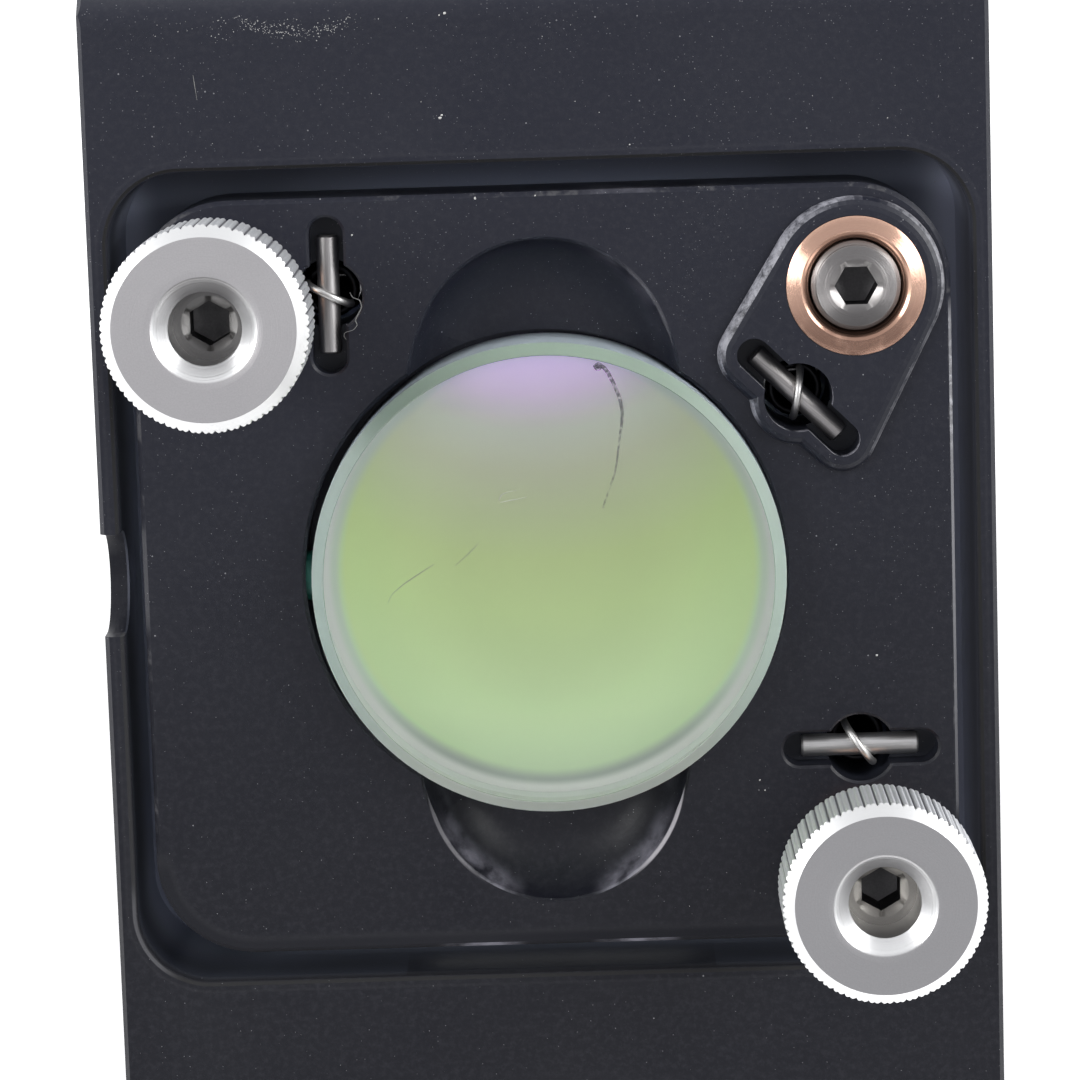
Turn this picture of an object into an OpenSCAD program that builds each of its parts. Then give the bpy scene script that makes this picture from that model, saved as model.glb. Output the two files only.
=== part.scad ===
// Right-angle kinematic mirror mount for a 30 mm rod cage.
// A black block, cut at 45 degrees, carries a tilting plate in a pocket in its sloping face.
// The plate stands on three ball-ended fine screws and three springs pull it down on them.
//
// Frame: +X across the mount, +Y out of the back port, +Z up from the bottom port.
// The mirror's coated face is centred where the two port axes cross.
// On the slope: x runs across, y runs up the slope, z points out of the sloping face,
// and zero is the centre of the mirror's coated face.

/* [Body] */
// Side of the cube that the block is cut from
cube_side = 48.26; // [47.5:0.02:50]
// Height of the sloping face above the mirror's coated face
face_lift = 3.5; // [3.4:0.1:4]
// Radius that rounds the two far ends of the sloping face
end_round = 2; // [0.5:0.1:3]
// Small chamfer along the block's sharp edges
edge_chamfer = 0.25; // [0.1:0.05:0.4]
// Width of the pocket across the slope
pocket_w = 46.16; // [45.8:0.02:46.4]
// Length of the pocket up the slope
pocket_l = 44.3; // [43.6:0.1:44.6]
// Corner radius of the pocket
pocket_r = 4; // [3:0.1:5]
// Gap between the plate's back and the pocket floor
floor_gap = 4; // [3.9:0.05:4.2]

/* [Ports] */
// Radius at the roots of the lens-tube thread in each port
port_r = 13.15; // [13:0.01:13.3]
// Depth of the lens-tube thread
port_depth = 3.2; // [2.6:0.1:3.4]
// Radius of the light path through the block
beam_r = 11.43; // [10.5:0.01:11.6]
// Distance up and down the slope at which the light path stops short of the pocket's end walls
beam_reach = 19.6; // [19:0.1:20.5]
// Distance between neighbouring cage rods
rod_pitch = 30; // [29.9:0.05:30.1]
// Radius of a cage rod's hole
rod_r = 3; // [2.95:0.01:3.05]
// Depth of the rod holes that lie under the pocket's end walls
rod_depth_short = 4.4; // [3.5:0.1:4.5]
// Depth of the other rod holes
rod_depth_long = 6; // [5:0.1:6]
// Radius of the post hole in each side
post_r = 2; // [1.6:0.05:2.2]
// Depth of the post holes
post_depth = 7; // [5:0.5:8]

/* [Plate] */
// Width of the tilting plate
plate_w = 43.76; // [43.4:0.02:44]
// Length of the tilting plate
plate_l = 41.1; // [40.8:0.1:41.4]
// Corner radius of the plate
plate_r = 5.3; // [4.6:0.1:5.4]
// Thickness of the plate
plate_t = 6.2; // [6:0.1:6.4]
// Height of the raised land round the pivot screw
boss_h = 0.8; // [0.5:0.1:1]
// Radius of the finger scallops at their far ends
scallop_r = 6.9; // [6.8:0.1:7.2]
// Depth of the finger scallops
scallop_depth = 2.6; // [2.4:0.1:3]

/* [Mirror] */
// Radius of the mirror
mirror_r = 12.7; // [12.65:0.01:12.72]
// Thickness of the mirror
mirror_t = 6; // [5.5:0.1:6.4]

/* [Adjusters] */
// Distance of the screws from the centre, across the slope
adjuster_x = 16.78; // [16.6:0.02:16.9]
// Distance of the two upper screws from the centre, up the slope
upper_y = 15.1; // [15:0.05:15.2]
// Distance of the lower screw from the centre, down the slope
lower_y = 15.4; // [15.3:0.05:15.5]
// Outer radius of the fine thread
screw_r = 2.38; // [2.3:0.01:2.38]
// Radius of the steel ball in each screw's tip
ball_r = 1.6; // [1.5:0.02:1.6]
// Width across the flats of the screws' hex sockets
hex_flats = 2; // [1.5:0.1:2]
// Height of the knobs' front faces above the mirror's coated face
knob_top = 17.9; // [17:0.1:19]
// Radius of a knob over its knurl
knob_r = 5.27; // [4.8:0.01:5.4]
// Length of the knurled part of a knob
knurl_l = 5.6; // [5:0.1:6]
// Depth from a knob's front face to the end of its screw
screw_sunk = 3.5; // [3:0.1:4]

/* [Springs] */
// Radius of the spring wire
wire_r = 0.21; // [0.18:0.01:0.22]
// Mean radius of the spring coils
coil_r = 1.3; // [1.25:0.01:1.32]
// Radius of the pins that the springs hook over
pin_r = 0.6; // [0.55:0.01:0.6]
// Length of the pins in the plate
pin_l = 6.35; // [6:0.05:6.6]

/* [Hidden] */
$fn = 96;
eps = 0.01;

half = cube_side / 2;              // from the port axes to the flat outer faces
axis_h = half;                     // height of the back port's axis
face_rise = face_lift * sqrt(2);   // length of the flats left at the slope's two ends
plate_back = face_lift - plate_t;
floor_z = plate_back - floor_gap;
boss_top = face_lift + boss_h;
bushing_top = boss_top + 0.05;

RODS = [[-1, -1], [1, -1], [-1, 1], [1, 1]];
rod = rod_pitch / 2;
rod_screw_in = 2.4;                // rod screws' distance from the port faces
rod_screw_r = 1.42;
rod_screw_l = 4.8;
post_y = 9.9;
post_z = 14.25;

// Screw places on the slope
YAW = [-adjuster_x, upper_y];      // its knob turns the plate about the up-slope line
PITCH = [adjuster_x, -lower_y];    // its knob turns the plate about the cross-slope line
PIVOT = [adjuster_x, upper_y];     // the plate tilts about the ball of this screw

// Spring places on the slope: [place, direction of the plate pin, how far the hook lies askew to it]
YAW_SPRING = [[-11.36, 15.32], 90, -26];
PITCH_SPRING = [[16.6, -10.1], 0, 35];
PIVOT_SPRING = [[13.6, 9.2], -45, 35];
spring_hole_r = 1.85;
slot_r = 0.92;
slot_l = 8.4;
rim_chamfer = 0.14;                // round the plate's slots and scallops
plate_pin_z = face_lift - 1.2;
body_pin_z = -9.5;
spring_hole_z = body_pin_z - 1.8;
spring_wall = 0.8;
hook_drop = coil_r - wire_r - pin_r - 0.03;   // pin centre to hook centre
top_leg = 1.9;                                // straight wire between a hook and the coils
bottom_leg = 0.62;

seat_r = 2.5;
seat_t = 2;
seat_gap = 0.03;
sunk_ball_z = floor_z + 0.75;              // ball centre in the cone and in the vee
flat_ball_z = floor_z + ball_r + seat_gap; // ball centre on the flat seat
bore_gap = 0.04;                           // running gap of screws and of balls
bushing_r = 3.1;
pivot_bushing_r = 3.74;
knob_back = knob_top - knurl_l;
hub_l = 1.4;
screw_end = knob_top - screw_sunk;
setscrew_z = face_lift - 1.75;
notch_z = face_lift - 1.3;
notch_r = 2.79;
scallop_reach = 18.05;                     // far end of each finger scallop, from the centre
bore_r = mirror_r + 0.25;                  // seat of the mirror
bore_shift = 0.2;
nylon_r = 1.35;

BLACK = [0.11, 0.11, 0.13];
STEEL = [0.72, 0.72, 0.72];
BRONZE = [0.78, 0.58, 0.45];
SATIN = [0.80, 0.80, 0.81];
GLASS = [0.70, 0.76, 0.58];

// ---------- places ----------

module on_slope(place = [0, 0], z = 0) {
    translate([0, 0, axis_h]) rotate([45, 0, 0]) translate([place[0], place[1], z]) children();
}

// Turns a shape that stands along +Z to point along +X (side = 1) or -X (side = -1)
module along_x(side) {
    rotate([0, 90 * side, 0]) children();
}

// Centre, in X, Y and Z, of a point on the slope
function off_slope(place, z) = [
    place[0],
    (place[1] - z) / sqrt(2),
    axis_h + (place[1] + z) / sqrt(2)
];

// ---------- shared shapes ----------

module rounded_rect(w, l, r) {
    square([w, l - 2 * r], center = true);
    square([w - 2 * r, l], center = true);
    for (sx = [-1, 1], sy = [-1, 1]) translate([sx * (w / 2 - r), sy * (l / 2 - r)]) circle(r = r);
}

module rounded_block(w, l, r, z0, z1) {
    translate([0, 0, z0]) linear_extrude(z1 - z0) rounded_rect(w, l, r);
}

// A rounded block whose sides lean: each side moves out by grow between z0 and z1
module leaning_block(w, l, r, z0, z1, grow) {
    a = w / 2;
    b = l / 2;
    h = z1 - z0;
    translate([0, b - r, z0]) rotate([90, 0, 0]) linear_extrude(2 * (b - r))
        polygon([[-a, 0], [a, 0], [a + grow, h], [-a - grow, h]]);
    translate([r - a, 0, z0]) rotate([90, 0, 90]) linear_extrude(2 * (a - r))
        polygon([[-b, 0], [b, 0], [b + grow, h], [-b - grow, h]]);
    for (sx = [-1, 1], sy = [-1, 1]) translate([sx * (a - r), sy * (b - r), z0])
        cylinder(h = h, r1 = r, r2 = r + grow);
}

// A turned shape from [radius, height] points
module turned(points) {
    rotate_extrude() polygon(points);
}

module hex_socket(flats, depth) {
    translate([0, 0, -depth]) cylinder(h = depth + eps, r = flats / sqrt(3), $fn = 6);
}

// A set screw along +Z: hex socket at its outer end, blunt cone at its tip
module set_screw(length, r, flats) {
    difference() {
        turned([[0, 0], [r - 0.5, 0], [r, 0.5], [r, length - 0.15], [r - 0.15, length], [0, length]]);
        translate([0, 0, length]) hex_socket(flats, 1.6);
    }
}

module dowel(length, r) {
    turned([[0, 0], [r - 0.1, 0], [r, 0.1], [r, length - 0.1], [r - 0.1, length], [0, length]]);
}

// ---------- block ----------

// Side view of the block: a square cut by the slope, with the slope's ends rounded
module body_profile() {
    // a flat end face turns by 45 degrees into the slope
    t = end_round * tan(22.5);
    s = t / sqrt(2);
    polygon([
        [-half, 0], [half, 0], [half, cube_side],
        [half - face_rise + t, cube_side],
        [half - face_rise - s, cube_side - s],
        [-half + s, face_rise + s],
        [-half, face_rise - t]
    ]);
    translate([half - face_rise + t, cube_side - end_round]) circle(r = end_round);
    translate([end_round - half, face_rise - t]) circle(r = end_round);
}

module body_blank() {
    c = edge_chamfer;
    intersection() {
        translate([-half, 0, 0]) rotate([90, 0, 90]) linear_extrude(cube_side) body_profile();
        // chamfers beside the bottom and top faces
        translate([0, half, 0]) rotate([90, 0, 0]) linear_extrude(cube_side) polygon([
            [c - half, 0], [half - c, 0], [half, c], [half, cube_side - c],
            [half - c, cube_side], [c - half, cube_side], [-half, cube_side - c], [-half, c]
        ]);
        // chamfers beside the front and back faces
        linear_extrude(cube_side) polygon([
            [c - half, -half], [half - c, -half], [half, c - half], [half, half - c],
            [half - c, half], [c - half, half], [-half, half - c], [-half, c - half]
        ]);
        // chamfers beside the sloping face
        on_slope() translate([0, cube_side, 0]) rotate([90, 0, 0]) linear_extrude(2 * cube_side)
            polygon([
                [-half, -cube_side], [half, -cube_side], [half, face_lift - c],
                [half - c, face_lift], [c - half, face_lift], [-half, face_lift - c]
            ]);
    }
}

// One port, cut along +Z from its mouth at z = 0, with the pocket's nearest end wall at -Y
module port_mouth() {
    chamfer = 0.4;
    translate([0, 0, -eps]) cylinder(h = port_depth + eps, r = port_r);
    translate([0, 0, -eps]) cylinder(h = chamfer, r1 = port_r + chamfer, r2 = port_r);
    for (place = RODS) translate([place[0] * rod, place[1] * rod, -eps]) {
        depth = place[1] < 0 ? rod_depth_short : rod_depth_long;
        cylinder(h = depth + eps, r = rod_r);
        cylinder(h = 0.3 + eps, r1 = rod_r + 0.3 + eps, r2 = rod_r);
    }
}

module light_path() intersection() {
    cylinder(h = axis_h + 2.4, r = beam_r);
    // leaves a rim of floor along the pocket's end wall
    on_slope() translate([-half, -beam_reach, -cube_side]) cube([cube_side, cube_side, 2 * cube_side]);
}

// Moves children from the bottom port's place to the back port's
module at_back_port() {
    translate([0, half, axis_h]) rotate([90, 0, 0]) mirror([0, 1, 0]) children();
}

// Rod screws: [side, y, z] of each axis
ROD_SCREWS = [
    for (side = [-1, 1], s = [-1, 1]) [side, s * rod, rod_screw_in],
    for (side = [-1, 1], s = [-1, 1]) [side, half - rod_screw_in, axis_h + s * rod]
];

module body_pin_hole(spring, side) {
    p = off_slope(spring[0], body_pin_z);
    translate([p[0] - side * 1.4, p[1], p[2]]) along_x(side) cylinder(h = cube_side, r = pin_r);
}

module mount_body() color(BLACK) difference() {
    body_blank();
    port_mouth();
    at_back_port() port_mouth();
    difference() {
        union() {
            light_path();
            at_back_port() light_path();
        }
        // a thin wall parts the light path from the spring beside it
        on_slope(YAW_SPRING[0], spring_hole_z - spring_wall)
            cylinder(h = floor_z - spring_hole_z + spring_wall, r = spring_hole_r + spring_wall);
    }
    on_slope() {
        rounded_block(pocket_w, pocket_l, pocket_r, floor_z, face_lift + 1);
        leaning_block(pocket_w, pocket_l, pocket_r, face_lift - 0.2, face_lift + 0.2, 0.4);
        // way for the hex key to the mirror's set screw
        translate([-half - 1, 0, notch_z]) along_x(1) cylinder(h = 3, r = notch_r);
        translate([-half - 1, -notch_r, notch_z]) cube([3, 2 * notch_r, face_lift]);
    }
    for (place = [YAW, PITCH, PIVOT]) on_slope(place, floor_z - seat_t)
        cylinder(h = seat_t + eps, r = seat_r);
    for (spring = [YAW_SPRING, PITCH_SPRING, PIVOT_SPRING]) on_slope(spring[0], spring_hole_z)
        cylinder(h = floor_z - spring_hole_z + eps, r = spring_hole_r);
    body_pin_hole(YAW_SPRING, -1);
    body_pin_hole(PITCH_SPRING, 1);
    body_pin_hole(PIVOT_SPRING, 1);
    for (s = ROD_SCREWS) translate([s[0] * (rod + rod_r - 0.3), s[1], s[2]]) along_x(s[0])
        cylinder(h = half, r = rod_screw_r);
    for (side = [-1, 1]) translate([side * (half - post_depth), post_y, post_z]) along_x(side)
        cylinder(h = post_depth + 1, r = post_r);
}

// ---------- seats, pins and screws in the block ----------

module seat_blank() turned([[0, 0], [seat_r, 0], [seat_r, seat_t - 0.1], [seat_r - 0.1, seat_t], [0, seat_t]]);

// Depth below the ball's centre at which 45-degree walls would meet
apex = (ball_r + seat_gap) * sqrt(2);

module cone_seat() color(STEEL) difference() {
    on_slope(PIVOT, floor_z - seat_t) seat_blank();
    on_slope(PIVOT, sunk_ball_z - apex) cylinder(h = apex, r1 = 0, r2 = apex);
}

module vee_seat() color(STEEL) difference() {
    on_slope(PITCH, floor_z - seat_t) seat_blank();
    // the groove points at the pivot
    on_slope(PITCH, sunk_ball_z - apex - 0.04) translate([0, seat_r + 1, 0]) rotate([90, 0, 0])
        linear_extrude(2 * seat_r + 2) polygon([[0, 0], [apex, apex], [-apex, apex]]);
}

module flat_seat() color(STEEL) on_slope(YAW, floor_z - seat_t) seat_blank();

// The pin starts just past the spring and ends a little under the side face
module body_pin(spring, side) {
    p = off_slope(spring[0], body_pin_z);
    inner = side * p[0] - 1.2;
    color(STEEL) translate([side * inner, p[1], p[2]]) along_x(side) dowel(half - 0.4 - inner, pin_r);
}

module rod_screw(i) {
    s = ROD_SCREWS[i];
    color([0.16, 0.16, 0.17]) translate([s[0] * (rod + rod_r + 0.2), s[1], s[2]]) along_x(s[0])
        set_screw(rod_screw_l, rod_screw_r, 1.27);
}

// ---------- plate ----------

// Raised land round the pivot screw: follows the bushing, the pin slot and the spring hole
module boss() {
    z0 = face_lift - 1;
    h = boss_top - z0;
    edge_r = boss_h - 0.1;
    ends = [for (s = [-1, 1]) PIVOT_SPRING[0] + s * (slot_l / 2 - slot_r) * [cos(-45), sin(-45)]];
    module land(place, r) translate([place[0], place[1], z0]) rotate_extrude($fn = 64) polygon([
        [0, 0], [r, 0],
        for (a = [0:22.5:90]) [r - edge_r + edge_r * cos(a), h - edge_r + edge_r * sin(a)],
        [0, h]
    ]);
    hull() {
        land(PIVOT, 4.75);
        land(ends[0], 1.95);
        land(ends[1], 1.8);
    }
    land(PIVOT_SPRING[0], 2.6);
}

module pin_slot(spring) translate([spring[0][0], spring[0][1], 0]) {
    straight = slot_l - 2 * slot_r;
    translate([0, 0, -10]) cylinder(h = 20, r = spring_hole_r);
    rotate(spring[1]) translate([0, 0, plate_pin_z - pin_r]) linear_extrude(5) {
        square([straight, 2 * slot_r], center = true);
        for (s = [-1, 1]) translate([s * straight / 2, 0]) circle(r = slot_r);
    }
}

// The small chamfer round a slot and its hole where they open in the plate's flat face
module slot_rim(spring) translate([spring[0][0], spring[0][1], face_lift - rim_chamfer]) {
    straight = slot_l - 2 * slot_r;
    cylinder(h = 1, r1 = spring_hole_r, r2 = spring_hole_r + 1);
    rotate(spring[1]) {
        translate([-straight / 2, 0, 0]) rotate([90, 0, 90]) linear_extrude(straight)
            polygon([[-slot_r, 0], [slot_r, 0], [slot_r + 1, 1], [-slot_r - 1, 1]]);
        for (s = [-1, 1]) translate([s * straight / 2, 0, 0]) cylinder(h = 1, r1 = slot_r, r2 = slot_r + 1);
    }
}

// A round, dished cut into the plate's face: a flat floor with a wide fillet up to the rim
module finger_cut(r) translate([0, 0, face_lift - scallop_depth]) rotate_extrude() {
    fillet = 3.4;
    flat_r = r - sqrt(pow(fillet, 2) - pow(fillet - scallop_depth, 2));
    rim_r = flat_r + sqrt(pow(fillet, 2) - pow(fillet - scallop_depth + rim_chamfer, 2));
    square([flat_r, 20]);
    translate([flat_r, fillet]) circle(r = fillet);
    translate([0, scallop_depth - rim_chamfer]) polygon([[0, 0], [rim_r, 0], [rim_r + 1, 1], [0, 1]]);
}

module mirror_plate() color(BLACK) on_slope() difference() {
    c = 0.25;
    union() {
        rounded_block(plate_w, plate_l, plate_r, plate_back, face_lift - c);
        leaning_block(plate_w, plate_l, plate_r, face_lift - c, face_lift, -c);
        boss();
    }
    // seat for the mirror, with a lip in front of its coated face; the set screw pushes the mirror
    // against the seat's right side
    translate([-bore_shift, 0, 0]) {
        cylinder(h = 20, r = bore_r);
        translate([0, 0, face_lift - 0.2]) cylinder(h = 1, r1 = bore_r, r2 = bore_r + 1);
    }
    translate([0, 0, -10]) cylinder(h = 20, r = beam_r);
    // relief so that the lip doesn't cut into the light at 45 degrees
    translate([0, 0, plate_back - 1]) cylinder(h = 2.6, r1 = beam_r + 2.6, r2 = beam_r);
    for (s = [-1, 1]) {
        translate([0, s * (scallop_reach - scallop_r), 0]) finger_cut(scallop_r);
        translate([0, s * (scallop_reach - scallop_r - 1.05), 0]) finger_cut(scallop_r + 0.4);
    }
    for (place = [YAW, PITCH]) translate([place[0], place[1], -10]) cylinder(h = 30, r = bushing_r);
    translate([PIVOT[0], PIVOT[1], -10]) cylinder(h = 30, r = pivot_bushing_r);
    for (spring = [YAW_SPRING, PITCH_SPRING, PIVOT_SPRING]) pin_slot(spring);
    for (spring = [YAW_SPRING, PITCH_SPRING]) slot_rim(spring);
    translate([-plate_w, 0, setscrew_z]) along_x(1) cylinder(h = plate_w - mirror_r, r = rod_screw_r);
}

module mirror_blank() color(GLASS) on_slope() {
    coated_bevel = 0.3;
    bevel = 0.6;
    turned([[0, 0], [mirror_r - coated_bevel, 0], [mirror_r, coated_bevel],
            [mirror_r, mirror_t - bevel], [mirror_r - bevel, mirror_t], [0, mirror_t]]);
}

module mirror_setscrew() color([0.16, 0.16, 0.17])
    on_slope([-15.2, 0], setscrew_z) along_x(-1) set_screw(5.9, rod_screw_r - 0.02, 1.27);

module nylon_tip() color([0.35, 0.66, 0.66])
    on_slope([-mirror_r - 0.02, 0], setscrew_z) along_x(-1) dowel(2.44, nylon_r);

module bushing(place, r) color(BRONZE) on_slope(place) {
    mouth = 2.57;
    lead = min(2.98, r - 0.35);
    bore = screw_r + bore_gap;
    turned([[bore, plate_back], [r - 0.15, plate_back], [r, plate_back + 0.15], [r, bushing_top - 0.08],
            [r - 0.08, bushing_top], [lead, bushing_top], [mouth, bushing_top - lead + mouth],
            [mouth, bushing_top - 1.6], [bore, bushing_top - 1.8]]);
}

module plate_pin(spring) color(STEEL) on_slope(spring[0], plate_pin_z)
    rotate(spring[1]) translate([-pin_l / 2, 0, 0]) along_x(1) dowel(pin_l, pin_r);

// ---------- springs ----------

// Half-round hook that opens along -Z, over the top of a pin, with a rounded knee at each bend
module spring_hook(leg) {
    rotate([90, 0, 0]) rotate_extrude(angle = 180) translate([coil_r, 0]) circle(r = wire_r);
    translate([coil_r, 0, -leg]) cylinder(h = leg, r = wire_r);
    for (z = [-leg, 0]) translate([coil_r, 0, z]) sphere(r = wire_r + 0.03);
}

// Close-wound extension spring from the pin in the plate to the pin in the block
module spring(spring, body_pin_dir) {
    top = plate_pin_z - hook_drop - top_leg;
    bottom = body_pin_z + hook_drop + bottom_leg;
    coils = floor((top - bottom) / (1.9 * wire_r));
    step = (top - bottom) / coils;
    color(STEEL) on_slope(spring[0]) union() {
        rotate_extrude() for (i = [0:coils]) translate([coil_r, bottom + i * step]) circle(r = wire_r);
        translate([0, 0, top + top_leg]) rotate(spring[1] + 90 + spring[2]) spring_hook(top_leg);
        translate([0, 0, bottom - bottom_leg]) mirror([0, 0, 1]) rotate(body_pin_dir) spring_hook(bottom_leg);
    }
}

// ---------- adjusters ----------

module tip_ball(place, z) color(STEEL) on_slope(place, z) sphere(r = ball_r);

// Fine screw from its ball to its socket end, with the ball held in a cup
module fine_screw(place, ball_z, end_z) color([0.60, 0.59, 0.58]) on_slope(place) difference() {
    rim = ball_z - 0.2;
    turned([[0, rim], [1.85, rim], [screw_r, rim + 1.5], [screw_r, end_z - 0.16],
            [screw_r - 0.16, end_z], [0, end_z]]);
    translate([0, 0, ball_z]) sphere(r = ball_r + bore_gap / 2);
    translate([0, 0, end_z]) hex_socket(hex_flats, 2.6);
    lead = 1.43;
    translate([0, 0, end_z - 0.28]) cylinder(h = 0.28 + eps, r1 = lead - 0.28, r2 = lead + eps);
}

module knob(place) color(SATIN) on_slope(place) {
    bevel = 0.6;
    hole = 1.87;
    sink = 2.65 - hole;
    turned([
        [screw_r + 0.01, knob_back - hub_l], [3.6, knob_back - hub_l], [3.8, knob_back - hub_l + 0.2],
        [3.8, knob_back], [knob_r - 0.4, knob_back], [knob_r, knob_back + 0.4],
        [knob_r, knob_top - bevel], [knob_r - bevel, knob_top],
        [hole + sink, knob_top], [hole, knob_top - sink], [hole, screw_end], [screw_r + 0.01, screw_end]
    ]);
}

mount_body();
cone_seat();
vee_seat();
flat_seat();
body_pin(YAW_SPRING, -1);  // yaw_body_pin
body_pin(PITCH_SPRING, 1);  // pitch_body_pin
body_pin(PIVOT_SPRING, 1);  // pivot_body_pin
for (i = [0:7]) rod_screw(i);
mirror_plate();
mirror_blank();  // mirror
mirror_setscrew();
nylon_tip();
bushing(YAW, bushing_r);  // yaw_bushing
bushing(PITCH, bushing_r);  // pitch_bushing
bushing(PIVOT, pivot_bushing_r);  // pivot_bushing
fine_screw(PIVOT, sunk_ball_z, bushing_top + 0.2);  // pivot_screw
plate_pin(YAW_SPRING);  // yaw_plate_pin
plate_pin(PITCH_SPRING);  // pitch_plate_pin
plate_pin(PIVOT_SPRING);  // pivot_plate_pin
spring(YAW_SPRING, 60);  // yaw_spring
spring(PITCH_SPRING, 120);  // pitch_spring
spring(PIVOT_SPRING, 120);  // pivot_spring
tip_ball(PIVOT, sunk_ball_z);  // pivot_ball
tip_ball(YAW, flat_ball_z);  // yaw_ball
tip_ball(PITCH, sunk_ball_z);  // pitch_ball
fine_screw(YAW, flat_ball_z, screw_end);  // yaw_screw
knob(YAW);  // yaw_knob
fine_screw(PITCH, sunk_ball_z, screw_end);  // pitch_screw
knob(PITCH);  // pitch_knob
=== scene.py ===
# %% [markdown]
# # A kinematic mirror mount
#
# A black block, cut at 45 degrees, holds a tilting plate with a round mirror. Two knurled knobs
# turn fine screws that lift the plate's corners, and three small springs pull it back down.
# The solid shapes come from CAD and are already in place. This lesson adds what makes them look
# real: knurls, threads, wound springs, coated glass, finishes, dust and light.

# %% Load the CAD model
import math
import random

import bmesh
import bpy
from mathutils import Matrix, Vector


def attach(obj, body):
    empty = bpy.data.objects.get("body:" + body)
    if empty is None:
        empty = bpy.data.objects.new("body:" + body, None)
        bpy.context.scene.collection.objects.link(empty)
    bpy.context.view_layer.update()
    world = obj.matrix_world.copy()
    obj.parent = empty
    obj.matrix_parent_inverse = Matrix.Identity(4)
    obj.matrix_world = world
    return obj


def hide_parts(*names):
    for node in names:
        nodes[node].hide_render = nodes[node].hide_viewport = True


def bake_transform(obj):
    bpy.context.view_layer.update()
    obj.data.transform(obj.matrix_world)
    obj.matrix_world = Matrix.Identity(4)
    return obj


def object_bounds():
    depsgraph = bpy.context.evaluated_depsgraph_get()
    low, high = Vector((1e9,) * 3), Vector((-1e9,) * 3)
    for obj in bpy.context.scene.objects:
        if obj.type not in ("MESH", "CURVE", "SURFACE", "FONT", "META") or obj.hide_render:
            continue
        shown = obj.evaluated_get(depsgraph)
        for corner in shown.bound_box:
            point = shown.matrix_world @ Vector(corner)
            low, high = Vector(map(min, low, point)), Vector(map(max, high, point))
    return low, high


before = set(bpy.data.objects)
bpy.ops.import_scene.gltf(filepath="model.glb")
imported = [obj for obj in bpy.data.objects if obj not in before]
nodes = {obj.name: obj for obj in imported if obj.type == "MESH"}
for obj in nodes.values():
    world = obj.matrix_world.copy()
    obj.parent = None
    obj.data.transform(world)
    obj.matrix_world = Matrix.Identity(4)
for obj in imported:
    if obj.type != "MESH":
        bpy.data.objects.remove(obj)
cad_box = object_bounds()
print("CAD parts:", len(nodes))

# %% [markdown]
# ## Working on the slope
#
# Almost everything sits on the sloping face, so it is easiest to model there: x runs across, y up
# the slope and z out of it, in millimetres, with zero at the centre of the mirror's coated side.
# One matrix takes those numbers into the model's metres. The CAD parts are measured the same way,
# so that each new piece gets its place and height from the part it belongs to.

# %% Slope coordinates
half = cad_box[1][0] * 1000  # from the port axes to the flat outer faces, in mm
slope_turn = Matrix.Rotation(math.radians(45), 3, "X")
slope_up = slope_turn @ Vector((0, 1, 0))
slope_out = slope_turn @ Vector((0, 0, 1))
to_frame = Matrix.Scale(0.001, 4) @ Matrix.Translation((0, 0, half)) @ slope_turn.to_4x4()
to_slope = to_frame.inverted()


def measure(node):
    """The lowest and highest corner of a CAD part, in slope coordinates."""
    points = [to_slope @ nodes[node].matrix_world @ v.co for v in nodes[node].data.vertices]
    low = Vector(min(p[i] for p in points) for i in range(3))
    high = Vector(max(p[i] for p in points) for i in range(3))
    return low, high


def axis_of(node):
    """Where the upright axis through the middle of a CAD part meets the slope."""
    low, high = measure(node)
    return Vector(((low.x + high.x) / 2, (low.y + high.y) / 2, 0))


plate_low, plate_high = measure("mirror_plate")
mirror_low, mirror_high = measure("mirror")
knob_low, knob_high = measure("yaw_knob")
knob_radius = (knob_high.x - knob_low.x) / 2
left_axis, right_axis, pivot_axis = axis_of("yaw_ball"), axis_of("pitch_ball"), axis_of("pivot_ball")
face = 3.5  # height of the block's and the plate's faces
pocket_x, pocket_y, pocket_corner = 23.25, 22.32, 4.2  # half width, half length, corner radius
print("mirror radius %.2f, thickness %.2f" % (mirror_high.x, mirror_high.z - mirror_low.z))
print("knob front at %.2f, pivot at (%.2f, %.2f)" % (knob_high.z, pivot_axis.x, pivot_axis.y))

# %% [markdown]
# ## Camera
#
# The camera looks almost straight down on the slope with a long lens, tipped back towards the
# slope's upper end and rolled a little. A long lens keeps the square face nearly square.

# %% Camera
aim = to_frame @ Vector((-0.44, 1.82, face))
tip_back = math.radians(8.67)
swing = math.radians(0.57)
roll = math.radians(-1.79)
distance = 0.2242

towards_camera = slope_turn @ Vector((math.sin(swing), math.sin(tip_back), math.cos(tip_back))).normalized()
right = slope_up.cross(towards_camera).normalized()
up = towards_camera.cross(right)
camera_turn = Matrix((right, up, towards_camera)).transposed() @ Matrix.Rotation(roll, 3, "Z")

camera_data = bpy.data.cameras.new("camera")
camera_data.lens = 138.84
camera_data.sensor_width = 36
camera_data.clip_start = 0.01
camera = bpy.data.objects.new("camera", camera_data)
camera.matrix_world = Matrix.Translation(aim + towards_camera * distance) @ camera_turn.to_4x4()
bpy.context.collection.objects.link(camera)
bpy.context.scene.camera = camera
bpy.context.scene.view_settings.view_transform = "Standard"
print("camera at", [round(c * 1000) for c in camera.location], "mm")

# %% [markdown]
# ## Helpers for materials
#
# Each finish is a Principled shader with patterns plugged into it. A pattern that several finishes
# share is a node group: made once, placed many times, with its own values each time.

# %% Node helpers
def feed(node, key, value):
    """Links another node's output to an input of this node, or sets the input to a constant."""
    if isinstance(value, bpy.types.NodeSocket):
        value.id_data.links.new(value, node.inputs[key])
    else:
        node.inputs[key].default_value = value


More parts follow.
